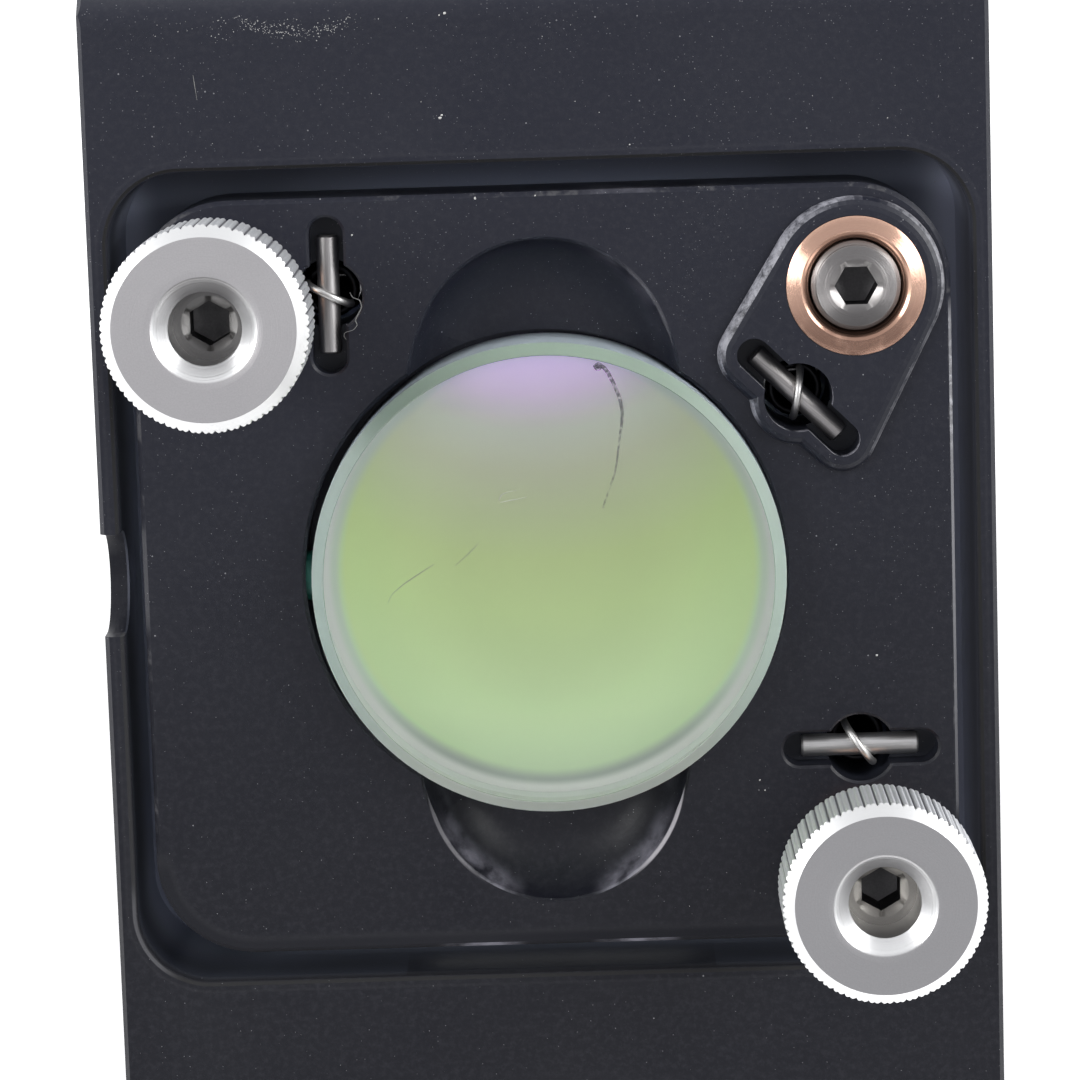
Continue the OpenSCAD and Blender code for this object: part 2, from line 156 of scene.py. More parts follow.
def new_material(name, color, metallic, roughness):
    material = bpy.data.materials.new(name)
    material.use_nodes = True
    shader = material.node_tree.nodes["Principled BSDF"]
    feed(shader, "Base Color", (*color, 1))
    feed(shader, "Metallic", metallic)
    feed(shader, "Roughness", roughness)
    return material, shader


def add(kind, inputs=None, beside=None, **settings):
    """Adds a node, sets its options and feeds its inputs. It goes into the same tree of nodes as what
    it is linked to. A node that is linked to nothing goes beside another one."""
    sockets = [value for value in (inputs or {}).values() if isinstance(value, bpy.types.NodeSocket)]
    node = (beside or sockets[0]).id_data.nodes.new(kind)
    for key, value in settings.items():
        setattr(node, key, value)
    for key, value in (inputs or {}).items():
        feed(node, key, value)
    return node


def maths(operation, a, b=0.0, c=0.0):
    return add("ShaderNodeMath", {0: a, 1: b, 2: c}, operation=operation).outputs[0]


def product(*factors):
    """Several numbers or masks multiplied together."""
    result = factors[0]
    for factor in factors[1:]:
        result = maths("MULTIPLY", result, factor)
    return result


def away_from(value, middle):
    """How far a value is from a middle value, on either side."""
    return maths("ABSOLUTE", maths("SUBTRACT", value, middle))


def smooth_step(value, start, end, low=0.0, high=1.0):
    """Goes smoothly from low to high as the value goes from start to end."""
    ends = {0: value, 1: start, 2: end, 3: low, 4: high}
    return add("ShaderNodeMapRange", ends, interpolation_type="SMOOTHSTEP").outputs[0]


def vector_maths(operation, a, b=(0, 0, 0)):
    """Like maths, for vectors. Lengths, distances and dot products come out as one number."""
    node = add("ShaderNodeVectorMath", {0: a, 1: b}, operation=operation)
    one_number = operation in ("LENGTH", "DISTANCE", "DOT_PRODUCT")
    return node.outputs["Value" if one_number else "Vector"]


def scaled(vector, factor):
    return add("ShaderNodeVectorMath", {0: vector, "Scale": factor}, operation="SCALE").outputs[0]


def xyz(vector):
    return list(add("ShaderNodeSeparateXYZ", {0: vector}).outputs)


def from_axis(vector, axis):
    """The way from an upright axis out to a point, and how long it is."""
    flat = vector_maths("MULTIPLY", vector, (1, 1, 0))
    offset = vector_maths("SUBTRACT", flat, axis)
    return offset, vector_maths("LENGTH", offset)


def noise(vector, scale, detail=2.0, roughness=0.5):
    inputs = {"Vector": vector, "Scale": scale, "Detail": detail, "Roughness": roughness}
    return add("ShaderNodeTexNoise", inputs).outputs[0]


def mix_color(factor, a, b):
    """Colour a where the factor is 0, colour b where it is 1."""
    a, b = (c if isinstance(c, bpy.types.NodeSocket) else (*c, 1) for c in (a, b))
    return add("ShaderNodeMix", {0: factor, 6: a, 7: b}, data_type="RGBA").outputs[2]


def paint(color, *coats):
    """Lays coats over a colour, each of them (mask, colour), one after the other."""
    for mask, coat in coats:
        color = mix_color(mask, color, coat)
    return color


def bump(shader, height, strength, depth):
    node = add("ShaderNodeBump", {"Strength": strength, "Distance": depth, "Height": height})
    feed(shader, "Normal", node.outputs[0])


def new_group(name, inputs, outputs):
    """Starts a node group. inputs: (name, kind, default). outputs: (name, kind). Gives back the node
    group's own inputs and the node that its results are fed to."""
    group = bpy.data.node_groups.new(name, "ShaderNodeTree")
    for label, kind, default in inputs:
        socket = group.interface.new_socket(label, in_out="INPUT", socket_type="NodeSocket" + kind)
        if default is not None:
            socket.default_value = default
    for label, kind in outputs:
        group.interface.new_socket(label, in_out="OUTPUT", socket_type="NodeSocket" + kind)
    return group.nodes.new("NodeGroupInput").outputs, group.nodes.new("NodeGroupOutput")


def place_group(group, beside=None, **values):
    inputs = {key.replace("_", " "): value for key, value in values.items()}
    return add("ShaderNodeGroup", inputs, beside, node_tree=group).outputs


print("node helpers ready")

# %% [markdown]
# ### Slope coordinates for shaders
#
# Object coordinates are metres in the model's frame. This group turns them by 45 degrees and
# scales them, so that a pattern can be laid out on the slope in millimetres like the pieces are.

# %% Group: slope coordinates
_, group_out = new_group("Slope coordinates", [], [("Vector", "Vector")])
drop = half * math.sqrt(0.5)
coordinates = add("ShaderNodeTexCoord", beside=group_out)
turned = add("ShaderNodeMapping", {
    "Vector": coordinates.outputs["Object"],
    "Location": (0, -drop, -drop),
    "Rotation": (math.radians(-45), 0, 0),
    "Scale": (1000, 1000, 1000),
})
feed(group_out, "Vector", turned.outputs[0])
slope_group = group_out.id_data


def slope_vector(shader):
    return place_group(slope_group, shader)["Vector"]


print(slope_group.name)

# %% [markdown]
# ### Fine grain
#
# A blasted and anodised surface is not smooth: it has a fine grain that scatters light and a
# slow, cloudy change of sheen. One fine and one coarse noise give a bump height and a roughness.

# %% Group: fine grain
group_in, group_out = new_group(
    "Fine grain",
    [("Vector", "Vector", None), ("Size", "Float", 0.1),
     ("Roughness", "Float", 0.4), ("Variation", "Float", 0.1)],
    [("Height", "Float"), ("Roughness", "Float"), ("Cloud", "Float")],
)
per_mm = maths("DIVIDE", 1.0, group_in["Size"])
fine = noise(group_in["Vector"], per_mm, 3.0, 0.6)
cloud = noise(group_in["Vector"], 0.12, 4.0)
middle = maths("SUBTRACT", cloud, 0.5)
spread = maths("MULTIPLY_ADD", middle, group_in["Variation"], group_in["Roughness"])
feed(group_out, "Height", fine)
feed(group_out, "Roughness", spread)
feed(group_out, "Cloud", cloud)
grain_group = group_out.id_data
print(grain_group.name)

# %% [markdown]
# ### Dust
#
# Lab dust is tiny pale specks, scattered unevenly. A cell pattern gives one random dot per cell:
# only cells whose random number is low get a speck, and a slow noise gathers them in drifts.

# %% Group: dust
group_in, group_out = new_group(
    "Dust",
    [("Vector", "Vector", None), ("Cell", "Float", 0.6), ("Speck", "Float", 0.12), ("Amount", "Float", 0.3)],
    [("Mask", "Float")],
)
cells = add("ShaderNodeTexVoronoi", {
    "Vector": group_in["Vector"],
    "Scale": maths("DIVIDE", 1.0, group_in["Cell"]),
    "Randomness": 1.0,
})
chance = add("ShaderNodeSeparateColor", {0: cells.outputs["Color"]}).outputs
drift = maths("POWER", noise(group_in["Vector"], 0.16, 2.0), 2.0)
present = maths("LESS_THAN", chance[0], product(drift, group_in["Amount"]))
size = product(chance[1], group_in["Speck"])
inside = maths("LESS_THAN", cells.outputs["Distance"], size)
bright = maths("MULTIPLY_ADD", chance[2], 0.7, 0.3)
feed(group_out, "Mask", product(present, inside, bright))
dust_group = group_out.id_data
print(dust_group.name)

# %% [markdown]
# ### Worn rim
#
# Corners rub bright first. The outlines here are rounded rectangles on the slope, so the distance
# to such an outline can be worked out in the shader, and a broken line drawn along it.

# %% Group: worn rim
group_in, group_out = new_group(
    "Worn rim",
    [("Vector", "Vector", None), ("Half size", "Vector", None), ("Corner", "Float", 4.0),
     ("Width", "Float", 0.2), ("Cover", "Float", 0.5)],
    [("Mask", "Float")],
)
flat = vector_maths("MULTIPLY", group_in["Vector"], (1, 1, 0))
folded = vector_maths("ABSOLUTE", flat)
corner = add("ShaderNodeCombineXYZ", {0: group_in["Corner"], 1: group_in["Corner"]}).outputs[0]
inner = vector_maths("SUBTRACT", group_in["Half size"], corner)
past = vector_maths("SUBTRACT", folded, inner)
reach = vector_maths("LENGTH", vector_maths("MAXIMUM", past))
past_x, past_y, _ = xyz(past)
within = maths("MINIMUM", maths("MAXIMUM", past_x, past_y), 0.0)
away = away_from(maths("ADD", reach, within), group_in["Corner"])
line = smooth_step(maths("DIVIDE", away, group_in["Width"]), 0.4, 1.0, 1.0, 0.0)
breaks = noise(group_in["Vector"], 0.45, 6.0, 0.7)
left_bare = maths("SUBTRACT", 1.0, group_in["Cover"])
shown = smooth_step(maths("SUBTRACT", breaks, left_bare), 0.0, 0.12)
feed(group_out, "Mask", product(line, shown))
rim_group = group_out.id_data
print(rim_group.name)

# %% [markdown]
# ### Turning marks
#
# A lathe leaves fine rings round the axis it turned the part on. The distance from that axis feeds
# a noise that only changes with the distance, which gives uneven rings for a bump.

# %% Group: turning marks
group_in, group_out = new_group(
    "Turning marks",
    [("Vector", "Vector", None), ("Axis", "Vector", None), ("Spacing", "Float", 0.08)],
    [("Height", "Float")],
)
_, radius = from_axis(group_in["Vector"], group_in["Axis"])
steps = maths("DIVIDE", radius, group_in["Spacing"])
uneven = add("ShaderNodeTexNoise", {"W": steps, "Scale": 1.0}, noise_dimensions="1D")
feed(group_out, "Height", uneven.outputs[0])
rings_group = group_out.id_data
print(rings_group.name)

# %% [markdown]
# ### Faced metal
#
# A face cut on a lathe carries rings far finer than anything that can be modelled. They spread a
# lamp's reflection into two bright wedges that point at the lamp. Here each spot's normal is leaned
# towards or away from the axis by an amount that jumps about with the radius, which gives wedges.

# %% Group: faced metal
rings_per_mm = 600.0
group_in, group_out = new_group(
    "Faced metal",
    [("Vector", "Vector", None), ("Axis", "Vector", None),
     ("Lean", "Float", 0.5), ("Crown", "Float", 0.0), ("Inner", "Float", 0.0)],
    [("Normal", "Vector")],
)
offset, radius = from_axis(group_in["Vector"], group_in["Axis"])
outward = vector_maths("NORMALIZE", offset)
in_frame = add("ShaderNodeVectorRotate", {"Vector": outward, "Angle": math.radians(45)},
               rotation_type="X_AXIS").outputs[0]
in_world = add("ShaderNodeVectorTransform", {0: in_frame},
               vector_type="VECTOR", convert_from="OBJECT", convert_to="WORLD").outputs[0]
ring = maths("FLOOR", product(radius, rings_per_mm))
jump = add("ShaderNodeTexWhiteNoise", {"W": ring}, noise_dimensions="1D").outputs["Value"]
either_way = maths("MULTIPLY_ADD", jump, 2.0, -1.0)
lean = maths("MULTIPLY_ADD", either_way, group_in["Lean"], group_in["Crown"])
on_face = maths("GREATER_THAN", radius, group_in["Inner"])
push = scaled(in_world, product(lean, on_face))
plain = add("ShaderNodeNewGeometry", beside=group_out).outputs["Normal"]
leaned = vector_maths("NORMALIZE", vector_maths("ADD", plain, push))
feed(group_out, "Normal", leaned)
faced_group = group_out.id_data
print(faced_group.name)

# %% [markdown]
# ## Black anodise
#
# The block and the plate are aluminium, blasted and dyed black: a dark blue-grey with a satin
# sheen. The black is painted lighter towards the upper end and darker towards the lower one, as
# painted light. In the slots and deep in the pocket it is painted lighter and more blue, painted
# light that makes up for the shade there, and a faint glow on its side and bottom walls, most of
# it on the right, stands in for light that the walls throw to each other.
# The rims have rubbed paler in places and dust lies on them, more of it near the upper end. Each
# of these is a mask that mixes another colour over the black.

# %% Black anodise
no_light = (0.0, 0.0, 0.0)
shaded_lower_black, lit_upper_black = (0.0045, 0.005, 0.0095), (0.0115, 0.013, 0.0235)
haze_color, painted_fill_slots, dust_color = (0.040, 0.040, 0.050), (0.030, 0.034, 0.048), (0.36, 0.36, 0.38)
painted_fill_ends, painted_fill_sides, painted_fill_top = (0.24, 0.27, 0.36), (0.50, 0.54, 0.68), (0.12, 0.135, 0.19)
glow_bottom, glow_sides, glow_right = (0.30, 0.33, 0.40), (0.17, 0.185, 0.22), (0.60, 0.62, 0.76)
below_floor, slot_start = -9.0, 8.5


def in_pocket(x, y, z):
    """1 inside the pocket, down to a little below its floor, and 0 on the block's outer faces."""
    above_floor = maths("GREATER_THAN", z, below_floor)
    beside = maths("LESS_THAN", maths("ABSOLUTE", x), pocket_x - 0.05)
    below = maths("LESS_THAN", maths("ABSOLUTE", y), pocket_y - 0.02)
    return product(above_floor, beside, below)


def rim_line(vector, half_size, corner, width, cover):
    """A mask along a rounded outline, with breaks in it where the cover is low."""
    rim = place_group(rim_group, Vector=vector, Half_size=(*half_size, 0), Corner=corner,
                      Width=width, Cover=cover)
    return rim["Mask"]


def roughen(shader, mask, amount):
    """Adds to the roughness that the shader already has."""
    satin = shader.inputs["Roughness"].links[0].from_socket
    feed(shader, "Roughness", maths("MULTIPLY_ADD", mask, amount, satin))


def black_anodise(name, outlines, dust, glowing=False):
    """outlines: (half size, corner radius, line width, cover, tone, stretch) of each worn rim, where
    stretch is (x, y, reach) for a part of it and None for all of it. dust: (cell, speck, amount) for
    each size of speck. glowing is for the block, whose pocket walls light each other."""
    material, shader = new_material(name, (0.012, 0.013, 0.021), 0.0, 0.42)
    feed(shader, "Specular IOR Level", 0.45)
    vector = slope_vector(shader)
    x, y, z = xyz(vector)
    from_middle = maths("ABSOLUTE", x)
    # Painted light: the black is lighter towards the upper end and darker towards the lower one.
    color = mix_color(smooth_step(y, -24.0, 26.0), shaded_lower_black, lit_upper_black)
    haze = smooth_step(noise(vector, 2.6, 6.0, 0.75), 0.42, 0.72, 0.0, 0.30)
    inside = in_pocket(x, y, z)
    # Painted light: the slots and the deep parts of the pocket are painted lighter and more blue, to make up
    # for the shade in them.
    in_slots = product(smooth_step(z, 3.3, 1.9), maths("GREATER_THAN", from_middle, slot_start), inside)
    side_walls = smooth_step(from_middle, 21.0, 22.8)
    painted_fill = paint(painted_fill_ends, (side_walls, painted_fill_sides), (smooth_step(y, 19.5, 21.5), painted_fill_top))
    deep = product(smooth_step(z, 0.8, -5.0), inside)
    color = paint(color, (haze, haze_color), (in_slots, painted_fill_slots), (deep, painted_fill))
    if glowing:
        bottom_wall, right_wall = smooth_step(y, -21.2, -22.0), smooth_step(x, 20.0, 22.5)
        glow = paint(no_light, (bottom_wall, glow_bottom), (side_walls, glow_sides), (right_wall, glow_right))
        sunk = product(inside, smooth_step(z, 3.1, 2.4))
        feed(shader, "Emission Color", mix_color(sunk, no_light, glow))
        feed(shader, "Emission Strength", 0.022)
    for half_size, corner, width, cover, tone, stretch in outlines:
        worn = rim_line(vector, half_size, corner, width, cover)
        if stretch:
            off = vector_maths("DISTANCE", vector, (stretch[0], stretch[1], face))
            worn = product(worn, smooth_step(off, stretch[2], stretch[2] * 0.5))
        if glowing:
            worn = product(worn, smooth_step(z, 2.0, 2.6))
        color = mix_color(worn, color, (tone, tone, tone * 1.1))
    settled = smooth_step(y, -16.0, 22.0, 0.25, 1.0)
    for cell, speck, amount in dust:
        specks = place_group(dust_group, Vector=vector, Cell=cell, Speck=speck,
                             Amount=product(settled, amount))
        color = mix_color(specks["Mask"], color, dust_color)
    feed(shader, "Base Color", color)
    grain = place_group(grain_group, Vector=vector, Size=0.16, Roughness=0.41, Variation=0.22)
    feed(shader, "Roughness", grain["Roughness"])
    bump(shader, grain["Height"], 0.25, 0.00004)
    return material, shader, vector, color


fine_dust = (0.15, 0.17, 1.7)
middle_dust = (0.55, 0.09, 1.0)
coarse_dust = (1.3, 0.045, 0.9)
every_dust = [fine_dust, middle_dust, coarse_dust]
pocket_edge = (pocket_x - 0.05, pocket_y - 0.05)
pocket_brink = (pocket_x - 0.03, pocket_y - 0.03)
pocket_outlines = [
    (pocket_edge, 4.1, 0.12, 0.75, 0.014, None),
    (pocket_edge, 4.1, 0.12, 1.3, 0.026, (-23.2, -10.0, 15.0)),
    (pocket_brink, 4.1, 0.12, 1.3, 0.085, (-22.6, -19.4, 3.2)),
]
body_black, shader, vector, _ = black_anodise("black_anodised_block", pocket_outlines, every_dust, True)
near_face = smooth_step(xyz(vector)[2], 2.0, 2.6)
pocket_rim = rim_line(vector, (pocket_x, pocket_y), pocket_corner, 0.5, 1.5)
roughen(shader, product(pocket_rim, near_face), 0.42)

plate_edge, plate_corner = (plate_high.x - 0.12, -plate_low.y - 0.12), 5.2
plate_outline = (plate_edge, plate_corner, 0.16, 0.48, 0.07, None)
plate_black, shader, vector, color = black_anodise("black_anodised_plate", [plate_outline], every_dust)
print(body_black.name, plate_black.name)

# %% [markdown]
# The plate has wear and painted light of its own. The rounded edge of the raised land round the
# pivot screw is painted pale on its left and on its right, a painted highlight broken up by noise.
# The plate's right edge is paler along its straight part, more so towards the top, and bare in one
# stretch, and its lowest edge is painted dark, a painted shadow. In the finger scallops, pale
# patches lie on the slopes of their fillets, partly dust and partly painted highlight, and a
# painted highlight runs along part of their rims.

# %% Wear, painted highlights and painted shadow on the plate's land and edges
rub_noise = noise(vector, 1.6, 7.0, 0.7)
rub = smooth_step(rub_noise, 0.30, 0.62)
across, along, height = xyz(vector)
facing = add("ShaderNodeTexCoord", beside=shader).outputs["Normal"]


def leaning(azimuth, start, end):
    """Rises from 0 to 1 as the surface leans further towards an azimuth on the slope."""
    angle = math.radians(azimuth)
    way = slope_turn @ Vector((math.cos(angle), math.sin(angle), 0))
    return smooth_step(vector_maths("DOT_PRODUCT", facing, way), start, end)


on_land = maths("GREATER_THAN", height, face + 0.06)
# Painted highlight: the land's rounded edge is painted pale where it leans to the upper left and to the
# right, towards the two lamps, broken up by noise.
left_land_highlight = product(on_land, leaning(150, 0.30, 0.62), rub)
right_land_highlight = product(on_land, leaning(18, 0.45, 0.85), rub)

right_side, bare_middle, straight_half = 21.80, 9.6, 13.0
edge_line = smooth_step(away_from(across, right_side), 0.11, 0.06)
straight = smooth_step(maths("ABSOLUTE", along), straight_half + 1.5, straight_half)
# The straight part of the right edge is paler, more so towards the top; one stretch of it is bare.
pale_right_edge = product(edge_line, straight, smooth_step(along, -16.0, 4.0, 0.35, 1.0))
bare_stretch = smooth_step(away_from(along, bare_middle), 4.2, 2.4)
bare_edge = product(edge_line, bare_stretch, smooth_step(rub_noise, 0.44, 0.66))

# Painted shadow: the plate's lowest edge is painted dark, and the rim there is made rougher.
low_rim = rim_line(vector, plate_edge, plate_corner, 1.0, 1.5)
low_rim = product(low_rim, smooth_step(along, -14.5, -16.0))
roughen(shader, low_rim, 0.45)
under_edge = product(maths("LESS_THAN", along, -20.5), leaning(270, 0.2, 0.5))
color = paint(
    color,
    (left_land_highlight, (0.34, 0.34, 0.38)),
    (right_land_highlight, (0.42, 0.42, 0.45)),
    (pale_right_edge, (0.26, 0.26, 0.275)),
    (bare_edge, (0.60, 0.60, 0.63)),
    (low_rim, (0.004, 0.0045, 0.009)),
    (under_edge, (0.001, 0.001, 0.002)),
)
print("wear on the plate's land and edges")

# %% Dust and painted highlights in the scallops
scallop_y, scallop_radius = 11.15, 6.95
drift = smooth_step(noise(vector, 0.7, 5.0, 0.55), 0.28, 0.72)
right_more = smooth_step(across, -2.0, 2.0, 0.30, 1.0)
for side, dust_and_highlight_amount, shine in ((-1, 1.0, 1.0), (1, 0.25, 0.12)):  # the lower scallop, then the upper
    _, from_middle = from_axis(vector, (0, side * scallop_y, 0))
    sideways = maths("ABSOLUTE", across) if side < 0 else across
    outwards = maths("GREATER_THAN", product(along, side), scallop_y + 0.05)
    in_cut = maths("LESS_THAN", height, face - 0.03)
    fillet = smooth_step(from_middle, 5.8, 6.9)
    band = product(smooth_step(sideways, 1.6, 3.6), smooth_step(sideways, 6.8, 5.2))
    # Pale patches on the fillets' slopes at the lower left and right: partly dust, partly a painted highlight
    # of the two lamps.
    dust_and_highlight = product(fillet, band, outwards, in_cut, drift, dust_and_highlight_amount)
    # Painted highlight along part of each scallop's outer rim, stronger on the right.
    rim = smooth_step(away_from(from_middle, scallop_radius), 0.14, 0.05, 0.0, shine)
    near_top = maths("GREATER_THAN", height, face - 0.2)
    rim_highlight = product(rim, near_top, outwards, smooth_step(sideways, 3.6, 5.8), right_more)
    color = paint(color, (dust_and_highlight, (0.26, 0.255, 0.30)), (rim_highlight, (0.50, 0.48, 0.51)))
feed(shader, "Base Color", color)
print("dust and worn rims in two scallops")

# %% [markdown]
# ## Metals
#
# The metals differ in colour and in how they were finished. The knobs are finely turned and dull,
# the pins are ground lengthwise, the hex screws are darker, the bushings are bronze.
#
# A knob's knurl was rolled, not cut, so it is duller, and darker in its grooves. The bevels in
# front of it and in the knob's mouth are painted bright, a painted highlight, apart from the top of
# the mouth, which is painted darker, a painted shade.

# %% Turned metal
bevel_highlight, knurl_grey, groove_dark = (0.84, 0.84, 0.84), (0.66, 0.67, 0.69), (0.26, 0.26, 0.28)
mouth_highlight = (0.90, 0.90, 0.90)
knurl_foot, mouth_edge = 4.6, 3.0


def tinted(color, factor):
    return [min(1, c * factor) for c in color]


def knob_finish(vector, axis, metal, rough, mouth_top_shade_color):
    """The colour and roughness of a knob's knurl, bevels and mouth, over those of its metal."""
    _, out = from_axis(vector, axis)
    facing = add("ShaderNodeTexCoord", beside=vector).outputs["Normal"]
    ahead = vector_maths("DOT_PRODUCT", facing, slope_out)
    slanted = smooth_step(ahead, 0.92, 0.80)
    on_rim = smooth_step(out, knurl_foot - 0.05, knurl_foot + 0.05)
    side = product(on_rim, smooth_step(ahead, 0.40, 0.20))
    bevel = product(on_rim, slanted)
    rough = maths("MULTIPLY_ADD", bevel, 0.08, rough)
    rough = maths("MULTIPLY_ADD", side, 0.20, rough)
    # Darker in the knurl's grooves.
    in_groove = smooth_step(out, knob_radius - 0.045, knob_radius - 0.09)
    facing_down = vector_maths("DOT_PRODUCT", facing, -slope_up)
    in_mouth = maths("LESS_THAN", out, mouth_edge)
    # Painted shade at the top of the mouth; painted highlight on the rest of the mouth and on the front
    # bevel.
    mouth_top_shade = product(smooth_step(facing_down, 0.15, 0.65), in_mouth)
    mouth = product(slanted, smooth_step(out, mouth_edge, mouth_edge - 0.1))
    lit = maths("MAXIMUM", maths("SUBTRACT", mouth, mouth_top_shade), 0.0)
    metal = paint(metal, (bevel, bevel_highlight), (side, knurl_grey), (product(in_groove, side), groove_dark),
                  (mouth_top_shade, mouth_top_shade_color), (lit, mouth_highlight))
    return metal, rough


def turned_metal(name, color, roughness, axis, marks=None, knob_shade=None, lean=None):
    """Metal off a lathe. marks are the spacing and the depth of its turning marks. knob_shade makes
    it a knob's metal: it is how much of its brightness the top of the knob's mouth keeps.

    lean is for a face that shows its lamps as wedges: how far its finest rings lean either way, how
    far the face as a whole leans outwards, and the radius at which it begins."""
    material, shader = new_material(name, color, 1.0, roughness)
    vector = slope_vector(shader)
    grain = place_group(grain_group, Vector=vector, Size=0.09, Roughness=roughness, Variation=0.1)
    metal = mix_color(grain["Height"], tinted(color, 0.9), tinted(color, 1.1))
    rough = grain["Roughness"]
    if knob_shade:
        metal, rough = knob_finish(vector, axis, metal, rough, tinted(color, knob_shade))
    if lean:
        # Painted shade: darker in patches below the axis.
        patches = smooth_step(noise(vector, 0.9, 4.0), 0.2, 0.5, 0.4, 1.0)
        lower = smooth_step(xyz(vector)[1], axis.y + 0.5, axis.y - 3.0)
        metal = mix_color(product(lower, patches), metal, tinted(color, 0.50))
        faced = place_group(faced_group, Vector=vector, Axis=axis,
                            Lean=lean[0], Crown=lean[1], Inner=lean[2])
        feed(shader, "Normal", faced["Normal"])
    else:
        spacing, depth = marks
        rings = place_group(rings_group, Vector=vector, Axis=axis, Spacing=spacing)
        height = maths("MULTIPLY_ADD", grain["Height"], 0.6, rings["Height"])
        bump(shader, height, 0.35, depth)
    feed(shader, "Base Color", metal)
    feed(shader, "Roughness", rough)
    return material


knob_marks, screw_marks, bronze_marks = (0.07, 0.00002), (0.12, 0.00002), (0.10, 0.00003)
# Painted light and shade: the two knobs are one metal and so are the two screws, but the left knob is written
# lighter than the right one and the left screw darker than the right one, to match how bright each looks
# where it stands.
left_knob_metal = turned_metal("satin_knob_left", (0.79, 0.775, 0.78), 0.32, left_axis, knob_marks, 0.5)
right_knob_metal = turned_metal("satin_knob_right", (0.62, 0.615, 0.62), 0.32, right_axis, knob_marks, 1.0)
left_screw_metal = turned_metal("screw_steel_left", (0.22, 0.215, 0.21), 0.38, left_axis, screw_marks)
right_screw_metal = turned_metal("screw_steel_right", (0.34, 0.325, 0.30), 0.38, right_axis, screw_marks)
pivot_screw_metal = turned_metal("screw_steel_pivot", (0.34, 0.325, 0.32), 0.32, pivot_axis,
                                 lean=(0.45, 0.0, 1.45))
bronze = {
    "yaw": turned_metal("bronze_left", (0.72, 0.43, 0.30), 0.33, left_axis, bronze_marks),
    "pitch": turned_metal("bronze_right", (0.72, 0.43, 0.30), 0.33, right_axis, bronze_marks),
    "pivot": turned_metal("bronze_pivot", (1.0, 0.60, 0.45), 0.19, pivot_axis, lean=(0.31, 0.33, 2.93)),
}
print("turned metals ready")

# %% Drawn and ground metal
hole_shade = (0.05, 0.05, 0.055)


def drawn_metal(name, color, roughness, stretch=(1, 1, 1), shade_heights=None, turn=0, contrast=0.3):
    """Metal with marks along one direction. The two darkening heights, if given, are the heights on
    the slope between which it goes from its own colour to dark: a painted shade deep in a hole.

    turn, in degrees, brings that direction onto the first axis of stretch."""
    material, shader = new_material(name, color, 1.0, roughness)
    vector = slope_vector(shader)
    turned = add("ShaderNodeVectorRotate", {"Vector": vector, "Angle": math.radians(turn)},
                 rotation_type="Z_AXIS").outputs[0]
    pulled = vector_maths("MULTIPLY", turned, stretch)
    grain = place_group(grain_group, Vector=pulled, Size=0.12, Roughness=roughness, Variation=0.3)
    streaks = mix_color(grain["Height"], tinted(color, 1 - contrast), tinted(color, 1 + contrast))
    # Painted shade: below the given heights the metal darkens, for the shade deep in a spring's hole.
    if shade_heights:
        streaks = mix_color(smooth_step(xyz(vector)[2], *shade_heights), streaks, hole_shade)
    feed(shader, "Base Color", streaks)
    feed(shader, "Roughness", grain["Roughness"])
    bump(shader, grain["Height"], 0.3, 0.00002)
    return material


upright, level = (1, 0.04, 1), (0.04, 1, 1)
# Painted light and shade: the three pins are one steel, written at different brightness to match how bright
# each looks where it lies.
pin_steel = {
    "yaw": drawn_metal("ground_steel_upright", (0.50, 0.485, 0.48), 0.42, upright, contrast=0.5),
    "pitch": drawn_metal("ground_steel_level", (0.70, 0.68, 0.67), 0.42, level, contrast=0.5),
    "pivot": drawn_metal("ground_steel_slanted", (0.52, 0.50, 0.49), 0.42, level, turn=41, contrast=0.6),
}
spring_wire = drawn_metal("spring_wire", (0.95, 0.92, 0.86), 0.40, shade_heights=(2.2, 0.6))
# Darker steel for the inside of the hex sockets.
dark_socket = drawn_metal("dark_socket", (0.10, 0.098, 0.10), 0.45)
hard_steel = drawn_metal("hard_steel", (0.55, 0.55, 0.56), 0.16)
black_oxide = drawn_metal("black_oxide", (0.035, 0.036, 0.042), 0.38)
print("pins, spring wire and screws ready")

# %% [markdown]
# ## Glass, coating and nylon
#
# The mirror is clear glass with a coating on its far side, so its colours are seen through the
# glass. The coating reflects different colours at different angles: it looks violet at the upper
# end, grey below that, and yellow-green over most of the disc, which follows the distance from a
# point above the upper rim. The film stops short of the rim with a darker line, and a pale bare
# margin lies outside it. Glass and air take some of the light on its way to the film and back, so
# its colours are written a little brighter than they are meant to look. The violet is light that
# the coating throws back whatever lies in shadow round it, which a faint glow stands in for.

# %% Glass
centre_axis = Vector((0, 0, 0))


def to_linear(red, green, blue):
    """Turns a colour as a screen shows it, 0 to 255, into the numbers that shaders take."""
    return tuple(((c / 255 + 0.055) / 1.055) ** 2.4 for c in (red, green, blue))


def under_glass(red, green, blue):
    """The colour to write for a layer that should look like this through the glass."""
    veil, passed = 0.05, 0.50
    return tuple(min(0.97, max(0.02, (c - veil) / passed)) for c in to_linear(red, green, blue))


def ramp(factor, stops):
    node = add("ShaderNodeValToRGB", {0: factor})
    band = node.color_ramp
    while len(band.elements) < len(stops):
        band.elements.new(1.0)
    for element, (position, color) in zip(band.elements, stops):
        element.position = position
        element.color = (*color, 1)
    return node.outputs[0]


clear_glass, shader = new_material("clear_glass", (0.985, 1.0, 0.99), 0.0, 0.0)
feed(shader, "Transmission Weight", 1.0)
feed(shader, "IOR", 1.46)
vector = slope_vector(shader)
smears = place_group(grain_group, Vector=vector, Size=1.4, Roughness=0.015, Variation=0.04)
_, radius = from_axis(vector, centre_axis)
ground = smooth_step(radius, 12.02, 12.12, 0.0, 0.45)
feed(shader, "Roughness", maths("ADD", smears["Roughness"], ground))
print(clear_glass.name)

